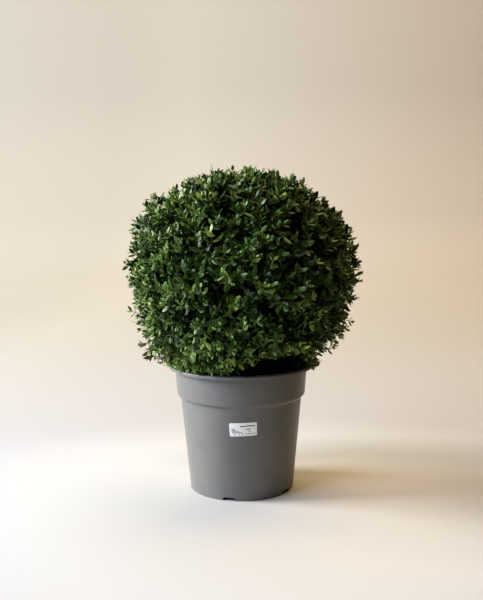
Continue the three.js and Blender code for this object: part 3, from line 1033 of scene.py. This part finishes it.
@dataclass(frozen=True)
class CrownPlace:
    """A direction from the crown's centre, in degrees."""

    azimuth: float
    elevation: float

    def away(self, directions: np.ndarray) -> np.ndarray:
        """How many degrees each direction lies away from the place."""
        azimuth, elevation = math.radians(self.azimuth), math.radians(self.elevation)
        middle = around(math.cos(elevation), azimuth, math.sin(elevation))
        return np.degrees(np.arccos(np.clip(directions @ middle, -1, 1)))


@dataclass(frozen=True)
class Swell(CrownPlace):
    """A place where the clipped surface stands proud of its ellipsoid."""

    proud: float
    spread: float

    def height(self, directions: np.ndarray) -> np.ndarray:
        """How far the surface stands proud in each direction."""
        return self.proud * np.exp(-((self.away(directions) / self.spread) ** 2))


@dataclass(frozen=True)
class Relief(CrownPlace):
    """A place where the twigs stop short of the clipped surface or, with a negative share, pass it."""

    share: float
    spread: float

    def depth(self, directions: np.ndarray) -> np.ndarray:
        """How much shorter twigs are in each direction, as a share of the reach."""
        return self.share * np.exp(-((self.away(directions) / self.spread) ** 4))


@dataclass
class CrownShape:
    """The clipped surface, the foliage's lower edge and the spaces that stay open."""

    centre: tuple[float, float, float] = (0.006, 0.0, 0.365)
    half_width: float = 0.193
    half_height: float = 0.184
    tip_share: float = 0.07
    ripple: float = 0.003
    # The left shoulder, the low left tuft and the right flank.
    swells: tuple[Swell, ...] = (Swell(-90, 34, 0.017, 14), Swell(-90, -37, 0.026, 9), Swell(90, 22, 0.004, 16))
    # Dark hollows between the sprays, then wide parts that are a little flatter or fuller.
    reliefs: tuple[Relief, ...] = (
        Relief(-2, 29, 0.4, 5.0),
        Relief(-15, 25, 0.3, 4.2),
        Relief(-31, -13, 0.33, 5.6),
        Relief(-56, 18, 0.2, 3.5),
        Relief(12, -9, 0.33, 5.2),
        Relief(25, -18, 0.24, 4.5),
        Relief(37, 2, 0.2, 4.0),
        Relief(45, 24, 0.2, 4.5),
        Relief(150, 10, 0.24, 5.0),
        Relief(-140, -6, 0.24, 4.5),
        Relief(-90, 66, -0.05, 13),
        Relief(-90, 46, -0.03, 9),
        Relief(90, 52, -0.03, 10),
        Relief(90, 82, 0.02, 8),
        Relief(90, -42, 0.07, 10),
        Relief(-90, -10, 0.04, 9),
        Relief(-90, -41, -0.05, 7),
        Relief(-90, 82, -0.03, 9),
    )
    hem_above_soil: float = 0.208
    hem_lift: float = 0.046
    lift_azimuth: float = 33.0
    lift_spread: float = 31.0
    core_share: float = 0.88
    core_roughness: float = 0.005
    vault_radius: float = 0.062
    vault_top: float = 0.262
    soil_top: float = 0.205
    lip_radius: float = 0.125
    lip_top: float = 0.220
    lip_gap: float = 0.0012
    mouth_radius: float = 0.1082

    def reach(self, directions: np.ndarray) -> np.ndarray:
        """How far the clipped surface is from the crown's centre in each direction."""
        level = np.hypot(directions[..., 0], directions[..., 1])
        reach = 1 / np.hypot(level / self.half_width, directions[..., 2] / self.half_height)
        for swell in self.swells:
            reach = reach + swell.height(directions)
        x, y, z = np.moveaxis(directions, -1, 0)
        return reach + self.ripple * np.sin(5 * x + 3 * z) * np.cos(6 * y - 4 * z)

    def core_reach(self, directions: np.ndarray) -> np.ndarray:
        """How far the dense inside reaches in each direction."""
        x, y, z = np.moveaxis(directions, -1, 0)
        bump = np.sin(47 * x + 31 * y) * np.cos(53 * z - 29 * y)
        return self.reach(directions) * self.core_share + self.core_roughness * bump

    def hem(self, points: np.ndarray) -> np.ndarray:
        """The height of the foliage's lower edge over each place."""
        azimuth = np.degrees(np.arctan2(points[..., 0], -points[..., 1]))
        away = (azimuth - self.lift_azimuth) / self.lift_spread
        outwards = np.minimum(1, np.hypot(points[..., 0], points[..., 1]) / self.lip_radius)
        return self.hem_above_soil + self.hem_lift * np.exp(-(away**4)) * outwards

    def inside(self, points: np.ndarray) -> np.ndarray:
        """True where a leaf may be: inside the clipped space and above the hem."""
        outward = points - np.array(self.centre)
        distance = np.linalg.norm(outward, axis=-1)
        within = distance <= self.reach(unit(outward)) * (1 + self.tip_share)
        return within & (points[..., 2] >= self.hem(points))

    def closed(self, points: np.ndarray) -> np.ndarray:
        """True in the spaces of the soil, the pot's upper part and the vault over the trunk."""
        radius, height = np.hypot(points[..., 0], points[..., 1]), points[..., 2]
        lip = (radius < self.lip_radius + self.lip_gap) & (height < self.lip_top + self.lip_gap)
        pot = lip & (radius > self.mouth_radius)
        soil = (radius < self.lip_radius) & (height < self.soil_top + self.lip_gap)
        rise = np.clip((height - self.soil_top) / (self.vault_top - self.soil_top), 0, 2)
        vault = (radius / self.vault_radius) ** 2 + rise**2 < 1
        return pot | soil | vault


@dataclass(frozen=True)
class TwigLayer:
    """Leafy twigs whose tips end at about the same share of the crown's reach."""

    name: str
    count: int
    tip_share: float
    scatter: float
    depth: float
    start_share: float
    nodes: int
    leaf_length: tuple[float, float]
    lean: float = 0.12
    sweep: float = 0.42
    internode: float = 0.0080
    drift: float = 0.0
    # How far twigs stray from their heading at the tip and at the start, and where they bend out.
    stray: float = 0.24
    start_stray: float = 0.02
    start_sweep: float = 0.25


@dataclass(frozen=True)
class Pocket:
    """How tips gather in clusters on a clipped crown, and how much deeper they sit in between."""

    clusters: int = 1050
    gather: float = 0.5
    cluster_depth: float = 0.06
    tip_jitter: float = 0.016
    cluster_jitter: float = 0.02
    # Pockets are patches of this size on a ball as large as the crown.
    ball_radius: float = 0.19
    size: float = 0.075
    depth: float = 0.28
    # Clipping leaves most tips near the surface: the rest are dealt out by this power.
    rarity: float = 1.7
    above_hem: tuple[float, float] = (0.001, 0.009)


@dataclass(frozen=True)
class Skirt:
    """The lowest sprays: ranges of azimuth in degrees, radius and height, and how many."""

    count: int
    azimuth: tuple[float, float]
    radius: tuple[float, float]
    height: tuple[float, float]

    def deal(self, random: np.random.Generator) -> tuple[np.ndarray, np.ndarray, np.ndarray]:
        """Deals out the azimuths in radians, the radii and the heights."""
        azimuth = np.radians(random.uniform(*self.azimuth, self.count))
        return azimuth, random.uniform(*self.radius, self.count), random.uniform(*self.height, self.count)


@dataclass(frozen=True)
class LeafPair:
    """A pair of leaves on a twig, counted back from the tip, where the youngest are crowded."""

    back: float
    spread: float
    growth: float
    youth: int


LEAF_PAIRS = (
    LeafPair(0.0, 26, 0.5, 1),
    LeafPair(0.32, 44, 0.82, 1),
    LeafPair(0.95, 56, 1.0, 0),
    LeafPair(1.9, 63, 1.06, 0),
    LeafPair(2.95, 68, 1.04, -1),
    LeafPair(4.0, 72, 1.0, -2),
    LeafPair(5.1, 74, 0.96, -2),
    LeafPair(6.2, 76, 0.9, -2),
)


@dataclass(frozen=True)
class Variety:
    """How much leaves differ from one another: ranges of factors, and strays in radians."""

    spacing: tuple[float, float] = (0.8, 1.25)
    spread: tuple[float, float] = (0.8, 1.2)
    length: tuple[float, float] = (0.86, 1.12)
    width: tuple[float, float] = (0.88, 1.12)
    roll: tuple[float, float] = (0.10, 0.24)
    arch: tuple[float, float] = (-0.02, 0.26)
    pair_turn: float = 0.2
    leaf_turn: float = 0.12
    # Ages drift from place to place, and from twig to twig.
    age_patches: float = 0.35
    age_scatter: float = 0.8


@dataclass
class ClippedCrown:
    """Everything that grows on the trunk: stem, boughs, shoots, twigs and leaves."""

    trunk: Trunk
    shape: CrownShape = field(default_factory=CrownShape)
    stem_top: float = 0.286
    stem_radius: float = 0.009
    boughs: int = 16
    bough_share: float = 0.6
    bough_radius: float = 0.006
    lowest_bough: float = 0.268
    long_shoots: int = 68
    long_reach: tuple[float, float] = (0.92, 0.97)
    short_shoots: int = 92
    short_depth: float = 0.004
    shoot_radius: float = 0.0026
    shoot_tip_radius: float = 0.0014
    outer: TwigLayer = TwigLayer("outer", 2050, 1.0, 0.018, 0.12, 0.8, 6, (0.0122, 0.0178), 0.4)
    proud: TwigLayer = TwigLayer(
        "proud", 240, 1.045, 0.012, 0.03, 0.86, 7, (0.0115, 0.016), 0.5, internode=0.0095, drift=0.4
    )
    runners: TwigLayer = TwigLayer(
        "runner", 60, 1.045, 0.008, 0.0, 0.8, 4, (0.010, 0.013), 1.6, 0.85, internode=0.0105, drift=1.6
    )
    inner: TwigLayer = TwigLayer("inner", 1100, 0.8, 0.02, 0.08, 0.62, 8, (0.018, 0.024))
    pocket: Pocket = Pocket()
    variety: Variety = Variety()
    # Sprays that lie on the pot's lip and over its edge on the left.
    skirt: Skirt = Skirt(110, (-100, -2), (0.112, 0.129), (0.226, 0.237))
    # A few that hang beside the lip's right end, in place of the first ones of the skirt.
    beside_lip: Skirt = Skirt(7, (60, 82), (0.127, 0.132), (0.210, 0.224))
    twig_radii: tuple[float, float] = (0.00108, 0.00054)
    # Leaves grow longer between these heights, the upper half's being in full light.
    lit_heights: tuple[float, float] = (0.3, 0.44)
    lit_vigour: tuple[float, float] = (0.94, 1.2)
    # Below these heights the crown shoots later and stays younger.
    young_heights: tuple[float, float] = (0.25, 0.29)
    low_youth: tuple[float, float] = (0.45, 0.0)
    leaf_ratio: float = 0.43
    leaves_to_piece: int = 8000
    # Upper bounds of the drifts from old leaves to flush ones.
    age_bounds: tuple[float, ...] = (-0.6, 0.35, 1.4, 2.2, 3.0)
    sunburnt: Relief = Relief(-90, -37, 1.0, 13)
    seed: int = 20

    def __post_init__(self) -> None:
        """Starts the repeatable stream of random numbers."""
        self.random = np.random.default_rng(self.seed)

    # The levels of growth

    def grow_boughs(self) -> tuple[np.ndarray, np.ndarray]:
        """The stem and the boughs.

        Returns:
            The stem's path, and the paths of the boughs, which curve out from the stem's head.
        """
        foot = self.trunk.middle(1.0) * MM
        head = np.array([foot[0], foot[1], self.stem_top])
        stem = foot + np.linspace(-0.02, 1, 12)[:, None] * (head - foot)
        directions = even_directions(self.boughs)
        reach = self.bough_share * self.shape.reach(directions)
        tips = np.array(self.shape.centre) + directions * reach[:, None]
        tips = tips[tips[:, 2] > self.lowest_bough]
        start = head - [0, 0, 4 * MM]
        elbow = start + [0, 0, 18 * MM] + 0.3 * (tips - start)
        return stem, bezier([start, elbow[:, None], tips[:, None]], np.linspace(0, 1, 10)[:, None])

    def grow_shoots(self, bough_tips: np.ndarray) -> np.ndarray:
        """The shoots in even directions, each from the nearest bough's tip to its own reach.

        Args:
            bough_tips: The ends of the boughs.

        Returns:
            The shoots' paths.
        """
        long_ones, short_ones = even_directions(self.long_shoots), even_directions(self.short_shoots)
        share = self.random.uniform(*self.long_reach, self.long_shoots)
        reaches = [self.shape.reach(long_ones) * share, self.shape.core_reach(short_ones) - self.short_depth]
        directions = np.concatenate([long_ones, short_ones])
        tips = np.array(self.shape.centre) + directions * np.concatenate(reaches)[:, None]
        tips = tips[self.shape.inside(tips)]
        nearest = np.linalg.norm(tips[:, None] - bough_tips[None], axis=2).argmin(axis=1)
        starts = bough_tips[nearest]
        paths = starts[:, None] + np.linspace(0, 1, 8)[:, None] * (tips - starts)[:, None]
        return paths[~self.shape.closed(paths).any(axis=1)]

    def deal_tips(self, layer: TwigLayer) -> np.ndarray:
        """Where a layer's twigs end: in clusters, with dark gaps between them, over the crown's reach.

        Args:
            layer: The twigs' number and reach.

        Returns:
            The tips.
        """
        random, shape, pocket, count = self.random, self.shape, self.pocket, layer.count
        centre = np.array(shape.centre)
        directions = unit(even_directions(count) + random.normal(0, pocket.tip_jitter, (count, 3)))
        # Cut twigs sprout again in clusters.
        jitter = random.normal(0, pocket.cluster_jitter, (pocket.clusters, 3))
        clusters = unit(even_directions(pocket.clusters) + jitter)
        member = (directions @ clusters.T).argmax(axis=1)
        directions = unit(directions * (1 - pocket.gather) + clusters[member] * pocket.gather)
        deep = ripples(directions * pocket.ball_radius, pocket.size, 3)
        depth = layer.depth * random.uniform(0, 1, count) ** pocket.rarity
        depth += pocket.depth * np.clip(deep - 0.5, 0, 1)
        depth += np.sum([relief.depth(directions) for relief in shape.reliefs], axis=0)
        depth += pocket.cluster_depth * random.uniform(-0.35, 1, pocket.clusters)[member] ** 2
        share = layer.tip_share + random.normal(0, layer.scatter, count) - depth
        tips = centre + directions * (shape.reach(directions) * share)[:, None]
        radius, near = np.hypot(tips[:, 0], tips[:, 1]), 4 * MM
        over_lip = (radius > shape.mouth_radius - near) & (radius < shape.lip_radius + near)
        floor = np.maximum(shape.hem(tips), np.where(over_lip, shape.lip_top + shape.lip_gap, 0.0))
        tips[:, 2] = np.maximum(tips[:, 2], floor + random.uniform(*pocket.above_hem, count))
        if layer is self.outer:
            low = np.stack(self.skirt.deal(random))
            low[:, : self.beside_lip.count] = self.beside_lip.deal(random)
            azimuth, radius, height = low
            tips = np.concatenate([tips, around(radius, azimuth, height)])
        return tips[~shape.closed(tips)]

    def grow_twigs(self, shoots: np.ndarray, layer: TwigLayer) -> np.ndarray:
        """The leafy twigs: they leave the nearest shoot and bend outwards to the clipped surface.

        Args:
            shoots: The shoots' paths.
            layer: The twigs' number and reach.

        Returns:
            The twigs' paths.
        """
        random, centre = self.random, np.array(self.shape.centre)
        tips = self.deal_tips(layer)
        samples = shoots[:, 2:].reshape(-1, 3)
        outward = samples - centre
        too_far = np.linalg.norm(outward, axis=1) / self.shape.reach(unit(outward)) > layer.start_share
        gap = np.linalg.norm(tips[:, None] - samples[None], axis=2) + np.where(too_far, 1.0, 0.0)
        starts = samples[gap.argmin(axis=1)]
        spread = np.linalg.norm(tips - starts, axis=1)[:, None]
        # Tips turn upwards along the crown's surface, towards the light.
        outwards = unit(tips - centre)
        upwards = np.array([0.0, 0.0, 1.0]) - outwards[:, 2:] * outwards
        heading = unit(outwards + random.normal(0, layer.stray, tips.shape) + layer.lean * upwards)
        bend_out = tips - heading * spread * layer.sweep
        leaving = unit(starts - centre + random.normal(0, layer.start_stray, starts.shape))
        bend_in = starts + leaving * spread * layer.start_sweep
        controls = [part[:, None] for part in (starts, bend_in, bend_out, tips)]
        return bezier(controls, np.linspace(0, 1, 9)[:, None])

    # The leaves

    def leaf_places(self, twigs: np.ndarray, layer: TwigLayer) -> dict[str, np.ndarray]:
        """Where the leaves stand: opposite pairs, each pair square to the next, closer at the tip.

        Args:
            twigs: The twigs' paths.
            layer: The number of pairs and the leaves' size.

        Returns:
            Arrays by name, one entry for each leaf: root, along, across, length, width, its twig's
            number, and the rank of its pair from the tip.
        """
        random, variety, count = self.random, self.variety, len(twigs)
        steps = np.linalg.norm(np.diff(twigs, axis=1), axis=2)
        run = np.concatenate([np.zeros((count, 1)), np.cumsum(steps, axis=1)], axis=1)
        total = run[:, -1:]
        order, pairs = np.arange(layer.nodes), LEAF_PAIRS[: layer.nodes]
        spacing = layer.internode * random.uniform(*variety.spacing, (count, 1))
        back = spacing * np.array([pair.back for pair in pairs])
        place = np.clip(total - back, 0, None) / total
        index = place * (twigs.shape[1] - 1)
        lower = np.clip(index.astype(int), 0, twigs.shape[1] - 2)
        part = (index - lower)[..., None]
        row = np.arange(count)[:, None]
        root = twigs[row, lower] * (1 - part) + twigs[row, lower + 1] * part
        axis = unit(twigs[row, lower + 1] - twigs[row, lower])
        helper = np.where(np.abs(axis[..., 2:]) < 0.9, [0.0, 0.0, 1.0], [1.0, 0.0, 0.0])
        first = unit(np.cross(axis, helper))
        second = np.cross(axis, first)
        turn = random.uniform(0, TURN, (count, 1)) + order * math.pi / 2
        turn = turn + random.normal(0, variety.pair_turn, (count, layer.nodes))
        turn = turn[..., None] + np.array([0, math.pi]) + random.normal(0, variety.leaf_turn, (*turn.shape, 2))
        side = first[:, :, None] * np.cos(turn)[..., None] + second[:, :, None] * np.sin(turn)[..., None]
        spread = np.radians([pair.spread for pair in pairs])[:, None]
        spread = (spread * random.uniform(*variety.spread, turn.shape))[..., None]
        along = unit(axis[:, :, None] * np.cos(spread) + side * np.sin(spread))
        across = unit(np.cross(side, along))
        growth = np.array([pair.growth for pair in pairs])[:, None]
        light = np.interp(twigs[:, -1, 2], self.lit_heights, self.lit_vigour)[:, None, None]
        vigour = random.uniform(*layer.leaf_length, (count, 1, 1)) * light
        length = growth * vigour * random.uniform(*variety.length, turn.shape)
        width = length * self.leaf_ratio * random.uniform(*variety.width, turn.shape)
        there = (back < total * 0.97)[..., None] & np.ones(2, bool)
        leaves = {
            "root": np.broadcast_to(root[:, :, None], side.shape),
            "along": along,
            "across": across,
            "length": length,
            "width": width,
            "twig": np.broadcast_to(row[..., None], turn.shape),
            "rank": np.broadcast_to(order[:, None], turn.shape),
        }
        return {name: values[there] for name, values in leaves.items()}

    @staticmethod
    def plain_blade() -> tuple[np.ndarray, list[np.ndarray], np.ndarray]:
        """One inner leaf's corners and faces, as blade gives them, without a midrib."""
        points = np.array([[0, 0], [0.3, 0.95], [0.75, 0.8], [1, 0], [0.75, -0.8], [0.3, -0.95], [0.5, 0]])
        upper = [[0, 1, 6], [6, 1, 2], [6, 2, 3], [6, 3, 4], [6, 4, 5], [6, 5, 0]]
        return points, [np.array(upper + [[0, 5, 1], [3, 2, 4]]), np.array([[1, 5, 4, 2]])], np.array([6, 0])

    @staticmethod
    def blade() -> tuple[np.ndarray, list[np.ndarray], np.ndarray]:
        """One leaf's corners and faces.

        Returns:
            Forward and sideways share of each point: root, right edge, tip, left edge, midrib.
            The triangles and the quads, upper side first. The number of upper faces in each.
        """
        forward = np.array([0.12, 0.36, 0.68, 0.9])
        sideways = np.array([0.5, 0.97, 0.88, 0.46])
        edge, other = np.stack([forward, sideways], axis=1), np.stack([forward, -sideways], axis=1)[::-1]
        middle = np.stack([forward, np.zeros(4)], axis=1)
        points = np.concatenate([[[0.0, 0.0]], edge, [[1.0, 0.0]], other, middle])
        right, left, rib = (1, 2, 3, 4), (9, 8, 7, 6), (10, 11, 12, 13)
        upper_fans = [[0, 1, 10], [0, 10, 9], [4, 5, 13], [13, 5, 6]]
        lower_fans = [[0, 9, 1], [4, 6, 5]]
        upper_quads = [[right[i], right[i + 1], rib[i + 1], rib[i]] for i in range(3)]
        upper_quads += [[rib[i], rib[i + 1], left[i + 1], left[i]] for i in range(3)]
        lower_quads = [[right[i + 1], right[i], left[i], left[i + 1]] for i in range(3)]
        faces = [np.array(upper_fans + lower_fans), np.array(upper_quads + lower_quads)]
        return points, faces, np.array([len(upper_fans), len(upper_quads)])

    def leaf_mesh(
        self, leaves: dict[str, np.ndarray], fine: bool
    ) -> tuple[np.ndarray, list[np.ndarray], list[np.ndarray], np.ndarray]:
        """All leaves of one piece as arrays: arched along the midrib and rolled down at the edges.

        Args:
            leaves: Arrays by name, as from leaf_places.
            fine: True for blades with a midrib.

        Returns:
            The points, the faces, the charts and the number of each face's finish.
        """
        flat, faces, upper = self.blade() if fine else self.plain_blade()
        count, corners = len(leaves["length"]), len(flat)
        length, width = leaves["length"][:, None], leaves["width"][:, None]
        forward, sideways = flat[None, :, 0], flat[None, :, 1]
        top = np.cross(leaves["across"], leaves["along"])
        roll = leaves["roll"][:, None] * width * sideways**2
        # The midrib rises as forward times (1 - forward) and droops with the cube of forward.
        arch = leaves["arch"][:, None] * length * (forward * (1 - forward) * 1.2 - 0.25 * forward**3)
        points = (
            leaves["root"][:, None]
            + leaves["along"][:, None] * (forward * length)[..., None]
            + leaves["across"][:, None] * (sideways * width / 2)[..., None]
            + top[:, None] * (arch - roll)[..., None]
        )
        offset = (np.arange(count) * corners)[:, None, None]
        arrays = [(part[None] + offset).reshape(-1, part.shape[1]) for part in faces]
        chart = np.stack([np.sign(flat[:, 1]) / 2 + 0.5, flat[:, 0]], axis=1)
        charts = [np.tile(chart[part], (count, 1, 1)) for part in faces]
        below = [np.arange(len(part)) >= above for part, above in zip(faces, upper)]
        finish = np.concatenate([np.tile(part, count) for part in below])
        return points.reshape(-1, 3), arrays, charts, finish

    def allowed(self, leaves: dict[str, np.ndarray]) -> np.ndarray:
        """True for each leaf that keeps inside the clipped space and out of the closed ones."""
        reach = leaves["root"] + leaves["along"] * leaves["length"][:, None]
        middle = (leaves["root"] + reach) / 2
        sideways = leaves["across"] * leaves["width"][:, None] / 2
        places = np.stack([leaves["root"], reach, middle + sideways, middle - sideways])
        return (self.shape.inside(places) & ~self.shape.closed(places)).all(axis=0)

    def build(
        self, old_bark: bpy.types.Material, green_bark: bpy.types.Material, young_bark: bpy.types.Material
    ) -> None:
        """Builds every level of the crown, and dresses it.

        Args:
            old_bark: Bark of the stem, the boughs and the shoots.
            green_bark: Bark of the twigs.
            young_bark: Bark of the twigs that stand proud of the clipped surface.
        """
        stem, boughs = self.grow_boughs()
        shoots = self.grow_shoots(boughs[:, -1])
        self.build_limbs("stem", stem[None], (self.trunk.tip_radius * MM, self.stem_radius), 28, old_bark)
        self.build_limbs("boughs", boughs, (self.bough_radius, self.shoot_radius), 16, old_bark)
        self.build_limbs("shoots", shoots, (self.shoot_radius, self.shoot_tip_radius), 7, old_bark)
        for layer in (self.outer, self.proud, self.runners, self.inner):
            twigs = self.grow_twigs(shoots, layer)
            bark = young_bark if layer in (self.proud, self.runners) else green_bark
            self.build_limbs(f"twigs_{layer.name}", twigs, self.twig_radii, 3, bark)
            self.build_leaves(twigs, layer)

    def build_limbs(
        self, name: str, paths: np.ndarray, radii: tuple[float, float], sides: int, bark: bpy.types.Material
    ) -> None:
        """Builds the limbs of one level as one piece.

        Args:
            name: The piece's name.
            paths: The limbs' paths.
            radii: Radius at the start and at the end.
            sides: Corners round a limb.
            bark: The limbs' bark.
        """
        count, places, _ = paths.shape
        radius = np.tile(np.linspace(*radii, places), (count, 1))
        turn = np.arange(sides) / sides * TURN
        circle = np.stack([np.cos(turn), np.sin(turn), np.zeros(sides)], axis=-1)
        spots = paths[..., None, :] + circle * radius[..., None, None]
        # The bark's relief: bumps of about 6 mm, up to 7% of the radius.
        relief = 1 + 0.07 * ripples(spots, 6 * MM, 14)
        points, faces, charts = tubes(paths, radius, sides, relief)
        piece = mesh_object(f"crown_{name}", points, faces, [bark], charts, sharp_angle=180)
        hand_over(piece, "foliage_ball")

    def build_leaves(self, twigs: np.ndarray, layer: TwigLayer) -> None:
        """Builds a layer's leaves, dealt out to their ages by spray.

        Args:
            twigs: The twigs' paths.
            layer: The layer that they belong to.
        """
        leaves = self.leaf_places(twigs, layer)
        good = self.allowed(leaves)
        leaves = {name: values[good] for name, values in leaves.items()}
        count = len(leaves["length"])
        leaves["roll"] = self.random.uniform(*self.variety.roll, count)
        leaves["arch"] = self.random.uniform(*self.variety.arch, count)
        ages = self.deal_ages(twigs, layer)[leaves["twig"]]
        if layer is not self.inner:
            # Every spray is youngest at its tip.
            youth = np.array([pair.youth for pair in LEAF_PAIRS])[leaves["rank"]]
            ages = np.clip(ages + youth, AGES.index(LeafAge.OLD), AGES.index(LeafAge.FLUSH))
            ages[self.weathered(twigs)[leaves["twig"]]] = AGES.index(LeafAge.BRONZED)
        LOG.info("%d %s twigs carry %d leaves", len(twigs), layer.name, count)
        for number, age in enumerate(AGES):
            chosen = np.flatnonzero(ages == number)
            if not len(chosen):
                continue
            skins = [BoxLeafSkin(age, upper).material() for upper in (True, False)]
            pieces = math.ceil(len(chosen) / self.leaves_to_piece)
            for part, members in enumerate(np.array_split(chosen, pieces), start=1):
                some = {key: values[members] for key, values in leaves.items()}
                points, faces, charts, finish = self.leaf_mesh(some, layer is not self.inner)
                name = f"leaves_{layer.name}_{age.name.lower()}_{part}"
                piece = mesh_object(name, points, faces, skins, charts, finish, sharp_angle=65)
                hand_over(piece, "foliage_ball")

    def deal_ages(self, twigs: np.ndarray, layer: TwigLayer) -> np.ndarray:
        """Deals an age out to each twig's leaves: in drifts, with lime ones scattered at the tips.

        Args:
            twigs: The twigs' paths.
            layer: The layer that they belong to: inner leaves all take the near-black colour of painted shade.

        Returns:
            The number of each twig's age.
        """
        if layer is self.inner:
            return np.zeros(len(twigs), int)
        tips = twigs[:, -1]
        drift = self.variety.age_patches * ripples(tips, 90 * MM, 8) + layer.drift
        drift += self.random.normal(0, self.variety.age_scatter, len(tips))
        drift += np.interp(tips[:, 2], self.young_heights, self.low_youth)
        return AGES.index(LeafAge.OLD) + np.digitize(drift, self.age_bounds)

    def weathered(self, twigs: np.ndarray) -> np.ndarray:
        """True for the twigs of the low left tuft whose leaves have bronzed in the sun."""
        tips = twigs[:, -1]
        near = self.sunburnt.depth(unit(tips - np.array(self.shape.centre)))
        return near + 0.35 * ripples(tips, 30 * MM, 9) > 0.6


# ---- Studio ----


@dataclass
class Studio:
    """Pale paper underfoot that turns to warm beige behind, soft light from the left, a camera."""

    camera_place: tuple[float, float, float] = (0.0022, -1.704, 0.569)
    camera_pitch: float = 8.03
    camera_roll: float = -0.55
    lens: float = 60.0
    aim_height: float = 0.25

    def build(self) -> None:
        """Builds the backdrop, the lights and the camera."""
        self.paper()
        self.lights()
        self.camera()

    def paper(self) -> None:
        """A wide sheet of backdrop paper that sweeps up far behind."""
        section = np.array([[-6.0, 0.0], [2.0, 0.0], [2.6, 0.05], [3.0, 0.3], [3.2, 0.9], [3.25, 3.5]])
        grid = np.column_stack([np.tile([-5.0, 5.0], len(section)), np.repeat(section, 2, axis=0)])
        low = np.arange(len(section) - 1) * 2
        quads = np.stack([low, low + 1, low + 3, low + 2], axis=1)
        mesh_object("studio_paper", grid, [quads], [StudioPaper().material()], sharp_angle=180)

    def lights(self) -> None:
        """A large soft key on the left, a weak one from above and a dim warm room."""
        self.soft_light("key", (-6.1, 0.25, 2.95), 2.8, 690.0, "#f8fcff")
        self.soft_light("window", (-3.0, -2.0, 1.5), 2.2, 100.0, "#c0d2ff")
        self.soft_light("ceiling", (0.9, 1.6, 4.6), 4.6, 172.0, "#ffe7b8")
        world = bpy.data.worlds.new("room")
        world.use_nodes = True
        world.node_tree.nodes.clear()
        glow = add_node(world.node_tree, "Background", {"Color": linear("#ffd6a4"), "Strength": 0.02})
        add_node(world.node_tree, "OutputWorld", {"Surface": glow.outputs["Background"]})
        bpy.context.scene.world = world
        colours = bpy.context.scene.view_settings
        colours.view_transform, colours.look = "Standard", "Medium High Contrast"

    def soft_light(
        self, name: str, place: tuple[float, float, float], size: float, power: float, colour: str
    ) -> None:
        """One square soft light, turned to the crown's foot.

        Args:
            name: Its name.
            place: Where it hangs.
            size: The length of its sides.
            power: Its power in watts.
            colour: Its colour.
        """
        data = bpy.data.lights.new(name, "AREA")
        data.size, data.energy, data.color = size, power, linear(colour)[:3]
        lamp = bpy.data.objects.new(name, data)
        lamp.location = place
        away = np.array(place) - [0, 0, self.aim_height]
        pitch = math.atan2(math.hypot(away[0], away[1]), away[2])
        lamp.rotation_euler = (pitch, 0, math.atan2(away[0], -away[1]))
        lamp.visible_camera = False
        bpy.context.scene.collection.objects.link(lamp)

    def camera(self) -> None:
        """The camera, level with the crown's upper part and looking slightly down."""
        data = bpy.data.cameras.new("camera")
        data.lens, data.sensor_width = self.lens, 36.0
        data.clip_start, data.clip_end = 0.05, 50.0
        view = bpy.data.objects.new("camera", data)
        turn = Matrix.Rotation(math.radians(90 - self.camera_pitch), 4, "X")
        roll = Matrix.Rotation(math.radians(self.camera_roll), 4, "Z")
        view.matrix_world = Matrix.Translation(self.camera_place) @ turn @ roll
        bpy.context.scene.collection.objects.link(view)
        bpy.context.scene.camera = view


def main() -> None:
    """Builds the pot and the plant from the bottom up, then the studio."""
    logging.basicConfig(level=logging.INFO, format="%(name)s: %(message)s")
    pot = NurseryPot()
    pot.build()
    PottingMixFill(pot).build()
    PriceLabel(pot).build()
    old_bark = Bark("box bark, grey-brown and corky", "#4c4533", "#271f15", 0.8).material()
    green_bark = Bark("twig bark, smooth and green", "#54602c", "#3f4821", 0.2, 0.6).material()
    trunk = Trunk()
    trunk.build(old_bark)
    young_bark = Bark("young twig bark, pale green", "#9bab58", "#7d8e40", 0.2, 0.55).material()
    ClippedCrown(trunk).build(old_bark, green_bark, young_bark)
    Studio().build()


if __name__ == "__main__":
    main()
